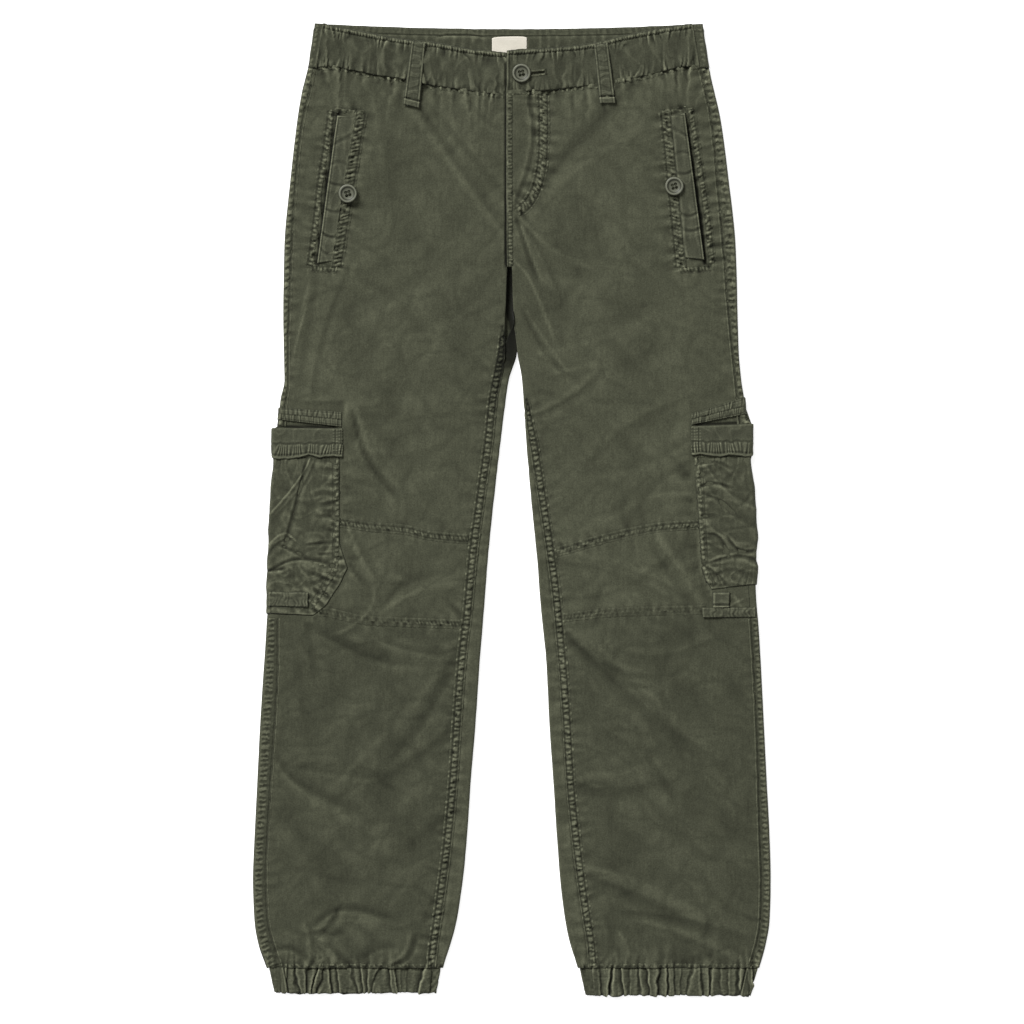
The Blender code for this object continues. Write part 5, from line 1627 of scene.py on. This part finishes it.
def makeCargo(side, part):
    rows, columns, backs = cargoGrid[part]
    level, detail, finish, stitchRows = cargoLook[part]
    topIn, topSide, bottomIn, bottomSide, innerEnd = cargoParts[side][part]
    v, t = shares(rows)[:, None], shares(columns)[None, :-1]
    down = mix(bottomSide, topSide, v) + 0 * t
    for _ in range(4):
        inner = bagEdgeAt(side, down) if part == "bag" else innerEnd
        frontO = mix(inner, outline(side, "outer", down) - layers["fold"], t)
        top, bottom = cargoEdges(side, part, frontO)
        down = mix(bottom - 0.15, top + 0.15, v)
    sideDown = mix(bottomSide - 0.15, topSide + 0.15, v)
    turnO, turnZ = outerTurn(side, sideDown, layers["trim"])
    turnZ = turnZ + 0.1
    innerBack = bagEdgeAt(side, sideDown) - innerEnd if part == "bag" else 0 * sideDown
    backO = mix(turnO[:, -1:], outline(side, "outer", sideDown) - pocketBack + innerBack, shares(backs)[None, 1:])
    outward = joined(frontO, turnO, backO)
    downs = joined(down, sideDown + 0 * turnO, sideDown + 0 * backO)
    raised = level(side, turnO, sideDown + 0 * turnO) - trimLevel(side, turnO, sideDown + 0 * turnO)
    downward = np.linspace(1, 0, turnZ.shape[1])[None, :]
    height = joined(level(side, frontO, down), turnZ + 0.6 * downward * raised, turnZ[:, -1:] + 0 * backO)
    onTop = joined(1 + 0 * frontO, downward + 0 * turnO, 0 * backO)
    relief = detail(side, outward, downs) * onTop
    relief = relief - (1 - onTop) ** 2 * np.clip(0.3 + 0.5 * grain(outward / 20, downs / 24, 719), 0.0, 0.9)
    if part == "hem":
        lip = np.interp(outward, *zip(*hemWave[side])) + 0.5 * grain(outward / 5, 0 * downs, 727)
        downs = downs + lip * np.exp(-(cargoEdges(side, part, outward)[1] - downs) / 7) * onTop
    trims, face = [], faceOf(level, detail)
    if part == "bag":
        relief = relief - 0.5 * seamBed(bagSeams[side], outward, downs) * onTop
        trims.append(seamPiece(f"cargo_seam_{side}", side, bagSeams[side], face, "pocket", 730))
    else:
        addRows(side, stitchRows(side), face)
    wide = (pocketBack + 6 + float(outline(side, "outer", topSide)) - innerEnd) * mm
    clothPiece(f"cargo_{part}_{side}", world(side, outward, downs, height), relief,
               finish, wearAndShade=dict(passes=5, gain=1.5))


# Base strips and the tab.

baseStrips = {
    "right": ((243.6, 567.2), (203, 568), (204, 583.2), (243.8, 582.2)),
    "left": ((243.6, 583), (189.5, 583.4), (190.5, 593.6), (243.8, 593.2)),
}
pocketTab = ((217.8, 567.8), (200, 568), (200.8, 584.2), (217.2, 583.8))


def stripLevel(side, *place):
    return trimLevel(side, *place) + pocketCover[side]["strip"]


def stripDetail(side, outward, down):
    patches = grain(outward / 9, down / 8, 744)
    puckers = np.abs(np.sin(math.pi * (outward / 4.2 + 0.9 * grain(outward / 9, down / 8, 743)))) - 0.5
    return (0.5 * grain(outward / 16, down / 5, 740) + 0.5 * puckers * (0.6 + 0.8 * patches)
            + 0.6 * grain(outward / 9, down / 6, 745))


def tabLevel(*place):
    return trimLevel(*place) + 0.9


def tabDetail(side, outward, down):
    relief = 0.5 * grain(outward / 6, down / 7, 753) + 0.6 * bell(down - 582.4, 0.7)
    return relief - 0.8 * bell(down - 580.6, 0.8) + 0.25 * bell(outward - 202.4, 0.8)


# Waist label, bare.

labelLook = dict(wide=35.0, tall=30.0, middle=(-2.5, 27.4), height=4.1, rows=30, columns=34)


def makeLabel():
    wide, tall, (middle, at) = labelLook["wide"], labelLook["tall"], labelLook["middle"]
    u, v = np.linspace(-0.5, 0.5, labelLook["columns"] + 1)[None, :], shares(labelLook["rows"])[:, None]
    x = middle + wide * u + 0 * v
    top = at - tall / 2 + 1.4 * np.abs(2 * u) ** 5 - 0.8 * u
    down = mix(at + tall / 2, top, v)
    edge = np.minimum((0.5 - np.abs(u)) * wide + 0 * v, np.minimum(v, 1 - v) * tall)
    relief = 0.3 * grain(x / 14, down / 10, 761) - 0.25 * fade(edge) - 0.15 * bell(edge - 1.8, 0.5)
    clothPiece("waist_label", world("left", x, down, labelLook["height"] + 0 * x), relief, "label",
               wall=0.5, wearAndShade=dict(passes=3, gain=1.2))


# Buttons.

buttonShape = dict(profile=((5.4, 1.55), (6.0, 1.9), (6.7, 2.6), (7.4, 2.95), (8.2, 3.05), (8.9, 2.8), (9.4, 2.2),
                            (9.6, 1.5), (9.3, 0.8), (8.7, 0.25), (7.4, 0.0)),
                   # how pale it is at each distance from its middle: rubbed and with painted highlight on the rim,
                   # painted shade on the rim's inner slope and at its foot
                   wearAndShade=((0.0, 0.62), (4.6, 0.66), (5.6, 0.6), (6.3, 0.12), (6.8, 0.12), (7.3, 0.7), (8.2, 1.0),
                         (8.9, 0.55), (9.6, 0.0)),
                   holes=2.35, holeRadius=1.6, turns=40, tilt=1.5, strands=(-0.35, 0.35), bar=(0.42, 2.9, 0.4))


# Turned disc with a raised rim, a dished middle and four sewing holes.
def makeButton(node, side, at, base, turn):
    look = buttonShape
    bm = bmesh.new()
    verts = [bm.verts.new((radius, 0.0, z)) for radius, z in look["profile"]]
    edges = [bm.edges.new(pair) for pair in zip(verts, verts[1:])]
    bmesh.ops.spin(bm, geom=verts + edges, cent=(0.0, 0.0, 0.0), axis=(0.0, 0.0, 1.0), angle=2.0 * math.pi,
                   steps=look["turns"], use_merge=True)
    for quarter in range(4):
        angle = math.pi / 4 + math.pi / 2 * quarter + turn
        spot = Matrix.Translation((look["holes"] * math.cos(angle), look["holes"] * math.sin(angle),
                                   look["profile"][0][1]))
        ring = bmesh.ops.create_circle(bm, segments=14, radius=look["holeRadius"], matrix=spot)["verts"]
        loop = list(dict.fromkeys(e for v in ring for e in v.link_edges))
        low = [g for g in bmesh.ops.extrude_edge_only(bm, edges=loop)["geom"] if isinstance(g, bmesh.types.BMVert)]
        for vert in low:
            vert.co.z = 0.0
    openEdges = [e for e in bm.edges if e.is_boundary]
    for high in (True, False):
        level = [e for e in openEdges if (e.verts[0].co.z > 0.7) == high]
        bmesh.ops.triangle_fill(bm, edges=level, use_beauty=True)
    bmesh.ops.recalc_face_normals(bm, faces=bm.faces)
    tilt = Matrix.Rotation(math.radians(look["tilt"]), 4, "X")
    place = Vector((sideSign[side] * at[0], halfLength - at[1], base))
    bm.transform(Matrix.Scale(mm, 4) @ Matrix.Translation(place) @ tilt)
    mesh = bpy.data.meshes.new(node)
    bm.to_mesh(mesh)
    bm.free()
    mesh.shade_smooth()
    mesh.set_sharp_from_angle(angle=math.radians(50.0))
    reach = [math.hypot(v.co.x / mm - place.x, v.co.y / mm - place.y) for v in mesh.vertices]
    setWearAndShade(mesh, np.interp(reach, *zip(*look["wearAndShade"])))
    addPiece(f"{node}_resin", mesh, "button", node)
    cross = look["holes"] * math.cos(math.pi / 4)
    for x in (-cross, cross):  # sewn with two bars of thread
        for strand in look["strands"]:
            off = x + strand
            spot = place + Vector((off * math.cos(turn), off * math.sin(turn), look["profile"][0][1] - 0.35))
            stitchPlaces.append(stitchMatrix(spot, turn, look["bar"]))


# Close stitches on both edges of the slit that runs out from under the waist button.
def makeButtonhole():
    (startO, startD), _, (endO, endD) = buttonSlit
    turn = math.atan2(endD - startD, endO - startO)
    middle = ((startO + endO) / 2, (startD + endD) / 2)
    for offset in (-1.9, 1.9):
        spot = (middle[0], middle[1] + offset)
        addBartack("left", spot, turn, 14.0, 1.7, lambda *place: bandFace(*place) + 0.1)
    addBartack("left", (endO + 2.2, endD - 0.4), turn + math.pi / 2, 5.4, 2.6, lambda *place: bandFace(*place) + 0.5)


# Stage.

# A big soft key from the upper left at about 38 degrees, and an even sky. The camera is straight above, far
# enough off that the edges aren't seen from the side.
stageLook = dict(floor="#ffffff", glow=0.7, sky=0.34, key=3.4, keyAngle=26.0, keyFrom=(-0.75, 1.0, 0.98),
                 lens=135.0, sensor=36.0, seen=1.024)


def makeStage():
    bm = bmesh.new()
    bmesh.ops.create_grid(bm, x_segments=1, y_segments=1, size=6.0)
    mesh = bpy.data.meshes.new("floor")
    bm.to_mesh(mesh)
    bm.free()
    material = bpy.data.materials.new("white_acrylic_light_table")
    material.use_nodes = True
    tree, white = material.node_tree, toLinear(stageLook["floor"])
    fillSockets(tree, tree.nodes["Principled BSDF"], Base_Color=white, Roughness=1.0, Specular_IOR_Level=0.0,
                Emission_Color=white, Emission_Strength=stageLook["glow"])
    mesh.materials.append(material)
    floor = addObject("floor", mesh)
    floor.location.z = -0.0005
    studio = bpy.data.worlds.new("studio")
    bpy.context.scene.world = studio
    studio.use_nodes = True
    fillSockets(studio.node_tree, studio.node_tree.nodes["Background"], Color=(1.0, 1.0, 1.0, 1.0),
                Strength=stageLook["sky"])
    key = bpy.data.lights.new("key", "SUN")
    key.energy = stageLook["key"]
    key.angle = math.radians(stageLook["keyAngle"])
    lamp = addObject("key", key)
    lamp.rotation_mode = "QUATERNION"
    lamp.rotation_quaternion = (-Vector(stageLook["keyFrom"])).to_track_quat("-Z", "Y")


def makeCamera():
    camera = bpy.data.cameras.new("camera")
    camera.lens, camera.sensor_width = stageLook["lens"], stageLook["sensor"]
    eye = addObject("camera", camera)
    eye.location = (0.0, -0.0025, 0.005 + stageLook["seen"] * camera.lens / camera.sensor_width)
    bpy.context.scene.camera = eye
    bpy.context.scene.view_settings.view_transform = "Standard"


makeCamera()
makeStage()
print("stage set")

materials = {key: clothMaterial(*look) for key, look in finishes.items()}
materials["button"] = buttonMaterial()

for side in sideSign:
    for name in frontPanels:
        makeFrontPanel(side, name)
        print("made", name, side)
    makeBackLeg(side)
    makeFrontBand(side)
    makeCuff(side)
    print("made back leg, band and cuff", side)
    makeWelt(side)
    makeFrontLoop(side)
    for part in ("mouth_strip", "hem", "bag"):
        makeCargo(side, part)
    patch(f"cargo_base_strip_{side}", side, baseStrips[side], (18, 50), stripLevel, stripDetail, "trim")
    print("made pockets and loops", side)

makeBackBand()
patch("cargo_tab_left", "left", pocketTab, (12, 20), tabLevel, tabDetail, "trim")
for name, centre in backLoops["centres"].items():
    makeBackLoop(name, centre)
makeLabel()
makeButton("button_waist", "left", buttonPlaces["waist"], 8.4, 0.2)
for side in sideSign:
    base = float(frontLevel(side, *map(np.array, buttonPlaces[side]))) + 2.2
    makeButton(f"button_pocket_{side}", side, buttonPlaces[side], base, 0.3)
makeButtonhole()
makeStitches()
print("made buttons and stitches")
